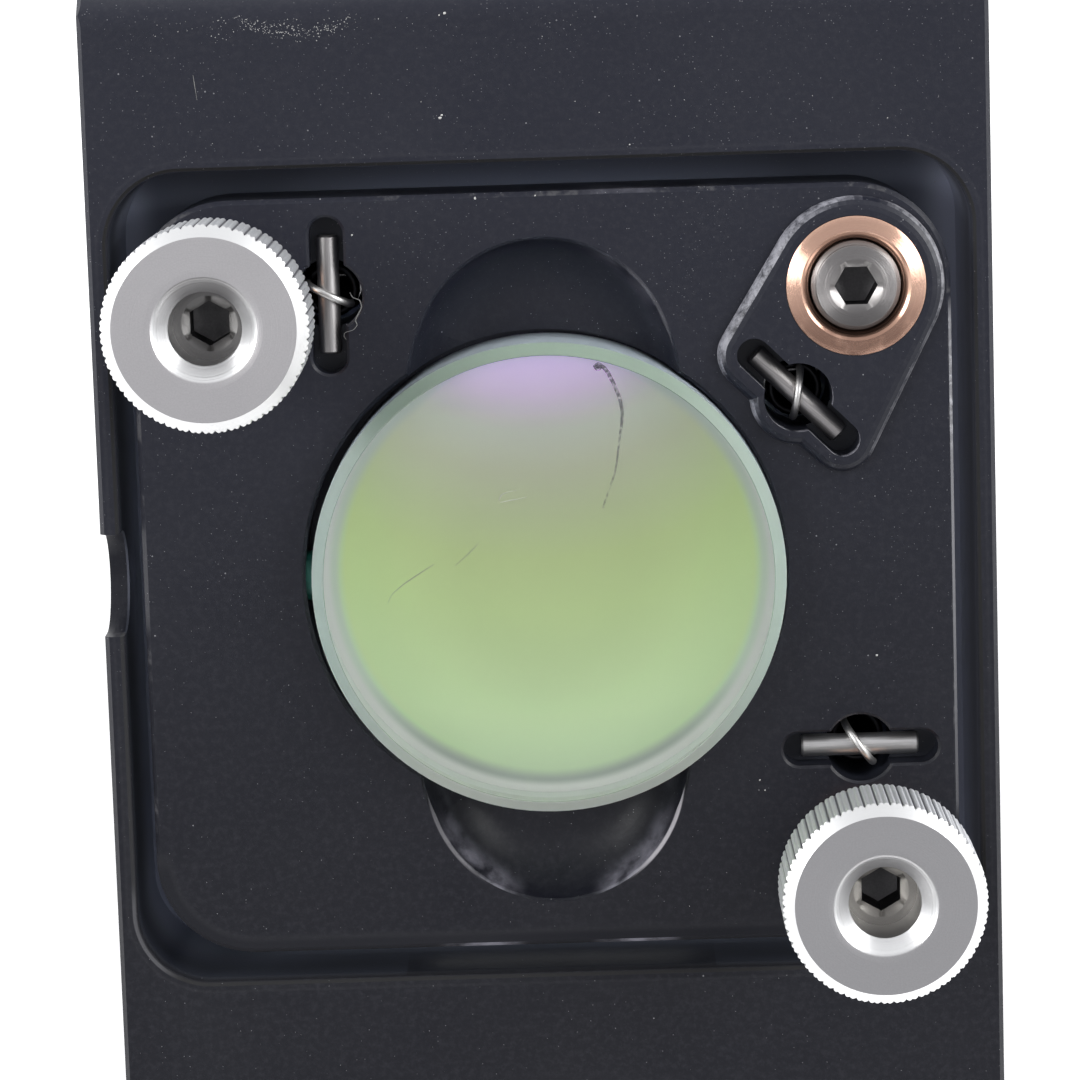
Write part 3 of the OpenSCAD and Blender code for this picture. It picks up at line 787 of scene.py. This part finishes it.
# %% Coating
coating, shader = new_material("mirror_coating", (0.42, 0.46, 0.30), 0.0, 0.35)
vector = slope_vector(shader)
above_rim = (-0.4, 20.0, 0.0)
from_top = maths("SUBTRACT", vector_maths("DISTANCE", vector, above_rim), 8.0)
reach = maths("DIVIDE", from_top, 24.0)
film = ramp(reach, [
    (0.02, under_glass(200, 184, 232)),
    (0.10, under_glass(194, 180, 224)),
    (0.19, under_glass(185, 186, 178)),
    (0.28, under_glass(178, 180, 160)),
    (0.38, under_glass(174, 182, 148)),
    (0.48, under_glass(174, 187, 140)),
    (0.60, under_glass(176, 192, 144)),
    (0.84, under_glass(176, 194, 157)),
    (0.96, under_glass(166, 180, 156)),
])
_, radius = from_axis(vector, centre_axis)
# Painted light: the film is written brighter towards its rim, to make up for the shade that the plate's bore
# casts there.
film = scaled(film, smooth_step(radius, 4.0, 11.5, 0.93, 1.18))
x, y, _ = xyz(vector)
# Painted light: the bare margin is written paler on the right.
rightward = smooth_step(x, -6.0, 9.0)
lowest = smooth_step(y, -5.0, -11.0)
margin = mix_color(rightward, under_glass(208, 214, 214), under_glass(220, 228, 226))
margin = mix_color(lowest, margin, under_glass(214, 217, 214))
dark_line = mix_color(lowest, under_glass(180, 186, 185), under_glass(146, 149, 152))
film = mix_color(smooth_step(radius, 11.0, 11.7, 0.0, 0.8), film, dark_line)
film = mix_color(smooth_step(radius, 11.65, 12.1), film, margin)
feed(shader, "Base Color", film)
violet = mix_color(smooth_step(reach, 0.0, 0.19), (0.62, 0.34, 1.0), no_light)
feed(shader, "Emission Color", violet)
feed(shader, "Emission Strength", 0.34)
print(coating.name)

# %% Ground glass and nylon
ground_glass, shader = new_material("ground_glass", to_linear(160, 188, 178), 0.0, 0.6)
vector = slope_vector(shader)
grain = place_group(grain_group, Vector=vector, Size=0.3, Roughness=0.6, Variation=0.1)
x, y, z = xyz(vector)
# Painted light and shade: round the rim the frost is written paler on the right flank and darker at the upper
# end, and the rim's side darker and more blue towards the top.
upward = smooth_step(y, -8.0, 9.0)
outward = smooth_step(maths("ABSOLUTE", x), 6.0, 12.6)
rightward = smooth_step(x, -8.0, 8.0)
ends = mix_color(upward, under_glass(151, 155, 149), under_glass(134, 148, 136))
flanks = mix_color(rightward, under_glass(140, 152, 147), under_glass(152, 164, 156))
frost = mix_color(outward, ends, flanks)
rim_side = mix_color(upward, under_glass(184, 188, 185), under_glass(163, 170, 176))
frost = mix_color(smooth_step(z, 5.42, 5.30), frost, rim_side)
frost = mix_color(product(grain["Height"], 0.12), frost, (0.9, 0.9, 0.9))
feed(shader, "Base Color", frost)
bump(shader, grain["Height"], 0.3, 0.00003)

nylon, shader = new_material("green_nylon", (0.01, 0.13, 0.10), 0.0, 0.45)
vector = slope_vector(shader)
grain = place_group(grain_group, Vector=vector, Size=0.4, Roughness=0.45, Variation=0.2)
green = mix_color(grain["Cloud"], (0.005, 0.10, 0.075), (0.02, 0.16, 0.12))
feed(shader, "Base Color", green)
print(ground_glass.name, nylon.name)

# %% [markdown]
# ## Dressing the CAD parts
#
# Parts whose CAD shape is already right keep it and only get a finish.

# %% Finishes on CAD parts
finishes = {
    "mount_body": body_black, "mirror_plate": plate_black, "mirror": clear_glass,
    "nylon_tip": nylon, "mirror_setscrew": black_oxide,
    "cone_seat": hard_steel, "vee_seat": hard_steel, "flat_seat": hard_steel,
    "pivot_ball": hard_steel, "yaw_ball": hard_steel, "pitch_ball": hard_steel,
    "yaw_bushing": bronze["yaw"], "pitch_bushing": bronze["pitch"],
}
for name in ("yaw", "pitch", "pivot"):
    finishes[name + "_plate_pin"] = pin_steel[name]
    finishes[name + "_body_pin"] = hard_steel
for number in range(1, 9):
    finishes["rod_screw_%d" % number] = black_oxide
for node, material in finishes.items():
    for slot in nodes[node].material_slots:
        slot.material = material
    data = nodes[node].data
    data.shade_smooth()
    data.set_sharp_from_angle(angle=math.radians(28))
print("dressed", len(finishes), "parts")

# %% [markdown]
# ## Turned pieces
#
# Most of the small parts were made on a lathe, so one helper spins a profile round an axis that
# stands on the slope. A ring's radius may depend on the angle, which is how a knurl, a hexagonal
# socket or any other shape that isn't round comes out of the same helper.

# %% Lathe helper
def around(sides):
    """Evenly spaced angles, once round."""
    return [2 * math.pi * i / sides for i in range(sides)]


def join_rows(bm, rows, closed=False):
    """Fills the gap between each row of points and the next with a band of faces."""
    bands = []
    for low_row, high_row in zip(rows, rows[1:] + rows[:1] if closed else rows[1:]):
        band = []
        for i in range(len(low_row)):
            j = (i + 1) % len(low_row)
            band.append(bm.faces.new((low_row[i], low_row[j], high_row[j], high_row[i])))
        bands.append(band)
    return bands


def finish_piece(name, bm, material, body, sharp=30, second=None):
    bmesh.ops.remove_doubles(bm, verts=bm.verts, dist=1e-4)
    bmesh.ops.dissolve_degenerate(bm, edges=bm.edges, dist=1e-4)
    bmesh.ops.recalc_face_normals(bm, faces=bm.faces)
    bm.transform(to_frame)
    mesh = bpy.data.meshes.new(name)
    bm.to_mesh(mesh)
    bm.free()
    mesh.shade_smooth()
    mesh.set_sharp_from_angle(angle=math.radians(sharp))
    mesh.materials.append(material)
    if second:
        mesh.materials.append(second)
    piece = bpy.data.objects.new(name, mesh)
    bpy.context.collection.objects.link(piece)
    if body:
        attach(piece, body)
    return piece


def lathe(name, rings, sides, axis, material, body, sharp=30, closed=False, second=None, since=0):
    """Spins (radius, height) rings round an upright axis. From ring number since on, second is used."""
    bm = bmesh.new()
    rows = []
    for radius, height in rings:
        row = []
        for angle in around(sides):
            r = radius(angle) if callable(radius) else radius
            row.append(bm.verts.new((axis.x + r * math.cos(angle), axis.y + r * math.sin(angle), height)))
        rows.append(row)
    bands = join_rows(bm, rows, closed)
    if second:
        for quad in sum(bands[since:], []):
            quad.material_index = 1
    return finish_piece(name, bm, material, body, sharp, second)


print("lathe ready")

# %% [markdown]
# ## Knurled knobs
#
# The knurl is straight: 50 broad ridges with narrow, shallow grooves between them, pressed in by a
# wheel. Each ridge is given twelve points round, which is enough for a sharp groove and a second,
# shallower one along the crest. Where the bevel at the front is smaller than the grooves are deep,
# the groove is gone, so taking the smaller of the two radii makes the scalloped edge by itself.

# %% Knobs
teeth = 50
groove = [0.13, 0.07, 0.015, 0.0, 0.0, 0.025, 0.05, 0.025, 0.0, 0.0, 0.015, 0.07]
points_round = teeth * len(groove)


def knurl(outer, limit):
    """Radius of the knurl at an angle, cut off where a bevel is smaller."""
    def radius(angle):
        step = round(angle / (2 * math.pi) * points_round) % len(groove)
        return min(limit, outer - groove[step])
    return radius


def knob(name, node, axis, material, body):
    low, high = measure(node)
    outer = (high.x - low.x) / 2
    top, back, seat = high.z, high.z - 5.6, high.z - 3.5
    collar, inner, hole, mouth = 3.8, 2.39, 1.87, 2.65
    front_bevel, back_bevel, countersink = 0.6, 0.4, mouth - hole
    rings = [(inner, low.z), (collar - 0.2, low.z), (collar, low.z + 0.2), (collar, back - 0.02)]
    rings += [(collar + 0.04, back)]
    for i in range(5):
        rings += [(knurl(outer, outer - back_bevel + 0.1 * i), back + 0.1 * i)]
    rings += [(knurl(outer, outer), back + 0.5), (knurl(outer, outer), top - front_bevel - 0.1)]
    for i in range(8):
        cut = front_bevel * i / 8
        rings += [(knurl(outer, outer - cut), top - front_bevel + cut)]
    rings += [(outer - front_bevel, top), (4.2, top), (3.6, top), (3.1, top)]
    rings += [(mouth + 0.06, top), (mouth, top - 0.02)]
    for i in range(1, 7):
        rings += [(mouth - countersink * i / 6, top - countersink * i / 6)]
    rings += [(hole, seat), (inner, seat)]
    piece = lathe(name, rings, points_round, axis, material, body, 24, closed=True)
    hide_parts(node)


knob("left_knob", "yaw_knob", left_axis, left_knob_metal, "yaw_drive")
knob("right_knob", "pitch_knob", right_axis, right_knob_metal, "pitch_drive")
print("knobs with", teeth, "ridges")

# %% [markdown]
# ## Fine screws
#
# Each screw is a rod with a hundred threads to the inch, a cup for its ball at one end and a
# hexagonal socket at the other. At this size rings stand in for the helix: no eye could tell.

# %% Screws
def hexagon(flats, turn):
    """Radius of a hexagon at an angle. flats is its width across two opposite sides."""
    def radius(angle):
        return flats / 2 / math.cos((angle + turn + math.pi / 6) % (math.pi / 3) - math.pi / 6)
    return radius


def fine_screw(name, node, axis, material, body, turn=0.0):
    low, high = measure(node)
    outer = (high.x - low.x) / 2
    start, end = low.z, high.z
    pitch, thread_depth, step = 0.254, 0.13, outer - 0.22
    cup = [(0, start + 1.25), (0.9, start + 1.1), (1.45, start + 0.5), (1.63, start), (1.85, start)]
    rings = cup + [(outer - 0.14, start + 1.3)]
    z = start + 1.5
    while z + pitch < end - 0.5:
        rings += [(outer - thread_depth, z), (outer, z + pitch * 0.45), (outer, z + pitch * 0.55)]
        z += pitch
    rings += [(outer - thread_depth, z), (outer, z + 0.1), (step + 0.02, end - 0.3)]
    rings += [(step, end - 0.3), (step, end - 0.03), (step - 0.03, end)]
    rings += [(1.8, end), (1.5, end), (1.42, end - 0.01)]
    socket_start = len(rings)
    rings += [(hexagon(2.0, turn), end - depth) for depth in (0.28, 1.2, 2.4)]
    rings += [(0.85, end - 2.45), (0, end - 2.75)]
    piece = lathe(name, rings, 72, axis, material, body,
                  second=dark_socket, since=socket_start)
    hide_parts(node)


fine_screw("left_fine_screw", "yaw_screw", left_axis, left_screw_metal, "yaw_drive")
fine_screw("right_fine_screw", "pitch_screw", right_axis, right_screw_metal, "pitch_drive")
fine_screw("pivot_fine_screw", "pivot_screw", pivot_axis, pivot_screw_metal, "plate", math.pi / 6)
print("three screws")

# %% [markdown]
# ## Bronze bushing
#
# The pivot screw's bushing shows its whole front: a ring that dishes slightly inwards, so that it
# catches light from both sides, then a bright lead-in and a dark gap round the screw.

# %% Pivot bushing
low, high = measure("pivot_bushing")
outer, top = (high.x - low.x) / 2, high.z
bore, mouth, lead = 2.42, 2.5, 2.9
rings = [(bore, low.z), (outer - 0.15, low.z), (outer, low.z + 0.15), (outer, top - 0.09)]
rings += [(outer - 0.03, top - 0.02), (outer - 0.09, top), (3.4, top - 0.01)]
rings += [(lead + 0.04, top - 0.02), (lead, top - 0.05)]
steepest = math.radians(60)
for degrees in (60, 50, 40, 30, 20, 10, 0):
    a = math.radians(degrees)
    sunk = 0.55 * (1 - math.sin(a) / math.sin(steepest))
    rings += [(mouth + (lead - mouth) * (1 - math.cos(a)) * 2, top - 0.05 - sunk)]
rings += [(mouth, top - 1.6), (bore, top - 1.8)]
bushing = lathe("pivot_bushing_turned", rings, 128, pivot_axis, bronze["pivot"], "plate", 24, True)
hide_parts("pivot_bushing")
print("bushing radius %.2f" % outer)

# %% [markdown]
# ## Wound springs
#
# Each spring is one wire: a hook over the pin in the plate, a short leg, coils, a leg, and a hook
# round the pin in the block. The springs are stretched, so the coils stand a little open. The wire
# is a tube swept along points, and the frame that carries its cross-section is passed on from point
# to point, so that the tube never twists.
#
# A spring's two hooks hang on pins that move apart when a knob is turned.

# %% Wire helper
def wire(name, points, radius, sides, material, body, taper=None):
    bm = bmesh.new()
    rows = []
    side = None
    for i, point in enumerate(points):
        ahead = points[min(i + 1, len(points) - 1)] - points[max(i - 1, 0)]
        ahead.normalize()
        if side is None:
            side = ahead.orthogonal().normalized()
        side = (side - ahead * side.dot(ahead)).normalized()
        other = ahead.cross(side)
        r = radius * (taper(i / (len(points) - 1)) if taper else 1.0)
        ways = [side * math.cos(a) + other * math.sin(a) for a in around(sides)]
        rows.append([bm.verts.new(point + way * r) for way in ways])
    join_rows(bm, rows)
    bm.faces.new(rows[0])
    bm.faces.new(rows[-1])
    return finish_piece(name, bm, material, body, 50)


print("wire helper ready")

# %% Springs
wire_radius, coil_radius = 0.21, 1.3
top_leg, bottom_leg = 1.9, 0.62
coil_spacing = 2 * wire_radius * 1.15
hook_steps, coil_steps, leg_steps = 16, 20, 5


def spring_points(node, pin_node, top_turn, bottom_turn):
    """One wire from hook to hook, in slope coordinates. The turns are the hooks' directions."""
    place = axis_of(pin_node)
    low, high = measure(node)
    top = high.z - wire_radius - coil_radius
    bottom = low.z + wire_radius + coil_radius

    def at(angle, radius, height):
        return Vector((place.x + radius * math.cos(angle), place.y + radius * math.sin(angle), height))

    def hook(turn, height, up, angles):
        for a in angles:
            points.append(at(turn, coil_radius * math.cos(a), height + up * coil_radius * math.sin(a)))

    points = []
    half_turn = [math.pi * i / hook_steps for i in range(hook_steps + 1)]
    hook(top_turn, top, 1, reversed(half_turn))
    points += [at(top_turn, coil_radius, top - top_leg * k / leg_steps) for k in range(1, leg_steps)]
    first, last = top - top_leg, bottom + bottom_leg
    turns = round((first - last) / coil_spacing)
    sweep = 2 * math.pi * turns + (bottom_turn - top_turn) % (2 * math.pi)
    for i in range(turns * coil_steps + 1):
        share = i / (turns * coil_steps)
        points.append(at(top_turn + sweep * share, coil_radius, first + (last - first) * share))
    points.append(at(bottom_turn, coil_radius, bottom + bottom_leg / 2))
    hook(bottom_turn, bottom, -1, half_turn)
    return points


springs = {
    "left_spring": ("yaw_spring", "yaw_plate_pin", 154, 60, "base", "pivot_ball"),
    "right_spring": ("pitch_spring", "pitch_plate_pin", 125, 120, "pivot_ball", "plate"),
    "pivot_spring_wound": ("pivot_spring", "pivot_plate_pin", 80, 120, "pivot_ball", "plate"),
}
for name, (node, pin_node, top_turn, bottom_turn, lower, upper) in springs.items():
    points = spring_points(node, pin_node, math.radians(top_turn), math.radians(bottom_turn))
    piece = wire(name, points, wire_radius, 10, spring_wire, None)
    low, high = measure(node)
    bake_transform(piece)
    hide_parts(node)
    print(name, len(points), "points, from", lower, "to", upper)

# %% [markdown]
# ## The mirror's layers
#
# Inside the clear blank lie two thin layers: the coated film on the far side, and the ground skin
# of the rim and its wide bevel, which shows pale green. Both sit a hair inside the glass.

# %% Mirror layers
radius, thick = mirror_high.x, mirror_high.z - mirror_low.z
low_bevel, high_bevel, skin = 0.3, 0.6, 0.03
edge = radius - low_bevel - skin
film_rings = [(r, skin) for r in (0, 4, 8, edge)] + [(r, 2 * skin) for r in (edge, 8, 4, 0)]
lathe("mirror_film", film_rings, 128, centre_axis, coating, "plate")
edge_rings = [
    (edge + 0.01, 2 * skin),
    (radius - skin, low_bevel + skin),
    (radius - skin, thick - high_bevel - skin / 2),
    (radius - high_bevel - skin / 2, thick - skin),
    (radius - high_bevel - 2 * skin, thick - 2 * skin),
    (radius - 2.2 * skin, thick - high_bevel - skin),
    (radius - 2.2 * skin, low_bevel + skin),
    (edge, 3 * skin),
]
lathe("mirror_ground_rim", edge_rings, 128, centre_axis, ground_glass, "plate", closed=True)
print("mirror layers: film and ground rim")

# %% [markdown]
# ## Port threads
#
# A lens tube screws into each port: 40 threads to the inch, cut just inside the port's mouth.
# The ridges are turned rings that stand in from the wall.

# %% Port threads
def port_ring(name, mouth, inwards):
    """Ridges round one port, from its mouth inwards, laid out in the model's own frame, in mm."""
    bm = bmesh.new()
    sides, wall, pitch, ridge = 144, 13.14, 0.635, 0.34
    profile = [(wall, 0.45)]
    for k in range(4):
        z = 0.5 + k * pitch
        profile += [(wall - 0.02, z), (wall - ridge, z + 0.26), (wall - ridge, z + 0.34)]
        profile += [(wall - 0.02, z + 0.6)]
    profile += [(wall, 3.15)]
    across = inwards.orthogonal().normalized()
    along = inwards.cross(across)
    rows = []
    for r, depth in profile:
        row = []
        for angle in around(sides):
            point = mouth + (across * math.cos(angle) + along * math.sin(angle)) * r + inwards * depth
            row.append(bm.verts.new(to_slope @ (point / 1000)))
        rows.append(row)
    join_rows(bm, rows, closed=True)
    finish_piece(name, bm, body_black, "base", 40)


port_ring("bottom_port_thread", Vector((0, 0, 0)), Vector((0, 0, 1)))
port_ring("back_port_thread", Vector((0, half, half)), Vector((0, -1, 0)))
print("two port threads")

# %% [markdown]
# ## Dust, lint and a hair
#
# Real parts are never clean. A dark hair lies on the glass, a curl of lint by the left spring,
# and pale flakes on the black faces. Each is thin geometry that rides on what it lies on.

# %% Hair and lint
def speckled(name, color, roughness, scale, dark, pale):
    """Dull stuff whose colour varies from dark to pale."""
    material, shader = new_material(name, color, 0.0, roughness)
    tint = add("ShaderNodeTexNoise", {"Scale": scale}, beside=shader).outputs[0]
    feed(shader, "Base Color", mix_color(tint, dark, pale))
    return material


def thinner_at_ends(t):
    return 0.5 + 0.5 * math.sin(math.pi * min(1, t * 1.3))


def strand(name, path, height, radius, material, body):
    """A thin wire through the (x, y) points of a path, its corners rounded off."""
    points = []
    for a, b in zip(path, path[1:]):
        for k in range(4):
            points.append(Vector((a[0] + (b[0] - a[0]) * k / 4, a[1] + (b[1] - a[1]) * k / 4, height)))
    points.append(Vector((*path[-1], height)))
    smooth = [points[0]]
    for before, here, after in zip(points, points[1:], points[2:]):
        smooth.append((before + here * 2 + after) / 4)
    smooth.append(points[-1])
    wire(name, smooth, radius, 6, material, body, thinner_at_ends)


hair_tones, hair_color = ((0.05, 0.045, 0.06), (0.16, 0.15, 0.17)), (0.30, 0.27, 0.31)
smear_tones, smear_color = ((0.46, 0.48, 0.37), (0.60, 0.62, 0.50)), (0.30, 0.34, 0.24)
scratch_tones, scratch_color = ((0.52, 0.57, 0.40), (0.70, 0.75, 0.56)), (0.70, 0.76, 0.56)
lint_tones, lint_color = ((0.10, 0.10, 0.10), (0.34, 0.34, 0.33)), (0.22, 0.22, 0.22)
dark_hair = speckled("dark_hair", hair_color, 0.8, 4000.0, *hair_tones)
grey_smear = speckled("grey_smear", smear_color, 0.8, 900.0, *smear_tones)
pale_scratch = speckled("pale_scratch", scratch_color, 0.8, 900.0, *scratch_tones)
grey_lint = speckled("grey_lint", lint_color, 0.8, 900.0, *lint_tones)

shader = dark_hair.node_tree.nodes["Principled BSDF"]
vector = slope_vector(shader)
thin = smooth_step(noise(vector, 4.5, 3.0), 0.38, 0.60, 0.10, 0.66)
fading = smooth_step(xyz(vector)[1], 3.5, 11.0, 0.35, 1.0)
feed(shader, "Alpha", product(thin, fading))

hair = [
    (2.69, 11.38), (2.92, 11.57), (3.13, 11.46), (2.95, 11.24), (2.78, 11.38), (3.17, 11.41),
    (3.41, 11.14), (3.72, 10.51), (4.03, 9.72), (4.16, 8.94), (4.1, 8.27), (3.94, 7.39),
    (3.83, 6.5), (3.65, 5.61), (3.29, 4.73), (2.98, 3.84),
]
curl = [
    (-10.16, 15.48), (-10.04, 15.21), (-9.64, 15.06), (-9.56, 14.66), (-9.95, 14.0), (-9.83, 13.73),
    (-10.04, 13.47), (-10.51, 13.35), (-10.58, 13.15), (-10.46, 12.97),
]
upper_smear = [(-2.54, 4.35), (-2.42, 4.68), (-2.09, 4.82), (-1.57, 4.92)]
lower_smear = [(-2.48, 4.28), (-1.99, 4.37), (-1.54, 4.43), (-1.05, 4.53)]
short_scratch = [(-3.78, 1.5), (-4.45, 0.86), (-5.11, 0.31)]
long_scratch = [(-6.23, 0.43), (-6.89, 0.04), (-7.88, -0.58), (-8.58, -1.13), (-8.84, -1.65)]
block_scratch = [(-18.04, 27.26), (-17.96, 26.6), (-17.88, 25.94)]
on_glass, in_film = mirror_high.z + 0.01, 0.09
strand("hair_on_mirror", hair, mirror_high.z + 0.12, 0.12, dark_hair, "plate")
strand("lint_by_spring", curl, face + 0.04, 0.03, grey_lint, "plate")
strand("upper_smear_on_mirror", upper_smear, on_glass, 0.03, grey_smear, "plate")
strand("lower_smear_on_mirror", lower_smear, on_glass, 0.03, grey_smear, "plate")
strand("short_scratch_in_film", short_scratch, in_film, 0.025, pale_scratch, "plate")
strand("long_scratch_in_film", long_scratch, in_film, 0.025, pale_scratch, "plate")
strand("scratch_on_block", block_scratch, face + 0.005, 0.02, grey_lint, "base")
print("hair, lint and fine scratches")

# %% Pale flakes
pale_dust = speckled("pale_dust", (0.6, 0.6, 0.58), 0.9, 700.0, (0.35, 0.34, 0.33), (0.85, 0.85, 0.82))


def flakes(name, spots, body, seed):
    """Small irregular chips of dust lying on the face, at (x, y, size)."""
    random.seed(seed)
    bm = bmesh.new()
    foot = face + 0.003
    for x, y, size in spots:
        start = random.random() * 6.28
        row = []
        for angle in around(5):
            reach = size * (0.5 + 0.6 * random.random())
            corner = (x + reach * math.cos(start + angle), y + reach * math.sin(start + angle), foot)
            row.append(bm.verts.new(corner))
        tip = bm.verts.new((x, y, foot + size * 0.4))
        for k in range(5):
            bm.faces.new((row[k], row[(k + 1) % 5], tip))
        bm.faces.new(list(reversed(row)))
    finish_piece(name, bm, pale_dust, body, 20)


random.seed(7)
plate_spots = [
    (-3.32, 20.3, 0.10), (-0.13, 20.35, 0.06), (17.56, -5.01, 0.08), (11.09, -11.72, 0.06),
    (11.35, -12.28, 0.05), (-9.94, 18.54, 0.06),
]
for _ in range(46):
    x, y = random.uniform(-21, 21), random.uniform(-19.5, 19.5)
    if math.hypot(x, y) > 19 and abs(x) < 20.5:
        plate_spots.append((x, y, random.uniform(0.015, 0.04)))
block_spots = [(-5.04, 24.6, 0.14), (-4.95, 24.75, 0.08), (4.97, 22.9, 0.05), (-4.6, 30.1, 0.10)]
block_spots += [(-4.9, 30.0, 0.06)]
arc_middle = -12.2
for _ in range(330):
    x = random.choice([random.gauss(-14.4, 1.2), random.gauss(-11.6, 1.5), random.gauss(-13.0, 3.5)])
    if abs(x - arc_middle) < 3.6:
        y = 29.25 + 0.07 * (x - arc_middle) ** 2 + random.gauss(0.15, 0.24)
    else:
        y = random.gauss(29.7, 0.45)
    if abs(x) < 23 and 27.5 < y < 30.3:
        block_spots.append((x, y, random.uniform(0.010, 0.034)))
for _ in range(40):
    x, y = random.uniform(-22, 22), random.uniform(22.8, 29.5)
    block_spots.append((x, y, random.uniform(0.012, 0.035)))
flakes("flakes_on_plate", plate_spots, "plate", 3)
flakes("flakes_on_block", block_spots, "base", 4)
print(len(plate_spots) + len(block_spots), "flakes")

# %% [markdown]
# ## Floor, world and lights
#
# The mount stands on a white table in a white light tent. The floor stays white behind it and
# still takes its shadow: for the camera, reflections and glass it glows a little. The tent is
# darker towards the camera, where the room shows through its opening, so flat metal faces that
# look at the camera come out grey while their bevels stay bright, and darker below the mount. In
# front of the mount the table ends, which darkens what the down-facing edges mirror. Two
# tall soft lamps stand at the left and right, which give each bevel, each countersink and each
# rounded edge its two highlights.

# %% Floor
table_white, past_table = (0.84, 0.84, 0.84), (0.17, 0.17, 0.17)
floor_mesh = bpy.data.meshes.new("floor")
size, ground = 3.0, cad_box[0][2]
corners = [(-size, -size, ground), (size, -size, ground), (size, size, ground), (-size, size, ground)]
floor_mesh.from_pydata(corners, [], [(0, 1, 2, 3)])
floor = bpy.data.objects.new("floor", floor_mesh)
bpy.context.collection.objects.link(floor)
floor_white, shader = new_material("floor_white", table_white, 0.0, 0.9)
spot = xyz(add("ShaderNodeNewGeometry", beside=shader).outputs["Position"])
front = smooth_step(spot[1], -0.045, -0.12)
feed(shader, "Base Color", mix_color(front, table_white, past_table))
path = add("ShaderNodeLightPath", beside=shader).outputs
seen = maths("MAXIMUM", path["Is Camera Ray"], path["Is Glossy Ray"])
seen = maths("MAXIMUM", seen, path["Is Transmission Ray"])
feed(shader, "Emission Color", (1, 1, 1, 1))
white = maths("MULTIPLY_ADD", front, -0.92, 1.0)
feed(shader, "Emission Strength", product(seen, white, 0.48))
floor_mesh.materials.append(floor_white)
print("floor at", round(ground, 4))

# %% World
world = bpy.data.worlds.new("light_tent")
bpy.context.scene.world = world
world.use_nodes = True
background = world.node_tree.nodes["Background"]
direction = add("ShaderNodeTexCoord", beside=background).outputs["Generated"]
ahead = vector_maths("DOT_PRODUCT", direction, towards_camera)
rising = vector_maths("DOT_PRODUCT", direction, slope_up)
below = smooth_step(rising, 0.0, -0.85)
tent = mix_color(below, (0.97, 0.98, 1.0), (0.42, 0.42, 0.44))
tent = mix_color(smooth_step(ahead, 0.35, 0.92), tent, (0.44, 0.44, 0.46))
feed(background, "Color", tent)
feed(background, "Strength", 1.0)
print("world:", world.name)

# %% Lamps
def soft_lamp(name, direction, tilt):
    """A tall lamp in a direction given on the slope, its upper end tilted down the slope by degrees."""
    light = bpy.data.lights.new(name, "AREA")
    light.shape = "RECTANGLE"
    light.size, light.size_y = 0.24, 0.80
    light.energy = 3.2
    lamp = bpy.data.objects.new(name, light)
    way = (slope_turn @ Vector(direction)).normalized()
    height = (slope_out - way * way.dot(slope_out)).normalized()
    height = Matrix.Rotation(math.radians(tilt), 3, way) @ height
    turn = Matrix((height.cross(way), height, way)).transposed()
    lamp.matrix_world = Matrix.Translation(Vector((0, 0, half / 1000)) + way * 0.7) @ turn.to_4x4()
    bpy.context.collection.objects.link(lamp)


soft_lamp("left_lamp", (-0.81, 0.35, 0.47), -19)
soft_lamp("right_lamp", (0.78, 0.41, 0.47), 26)
print("two lamps")

# %% [markdown]
# ## Finish
#

# %% Finish
print("pieces made")
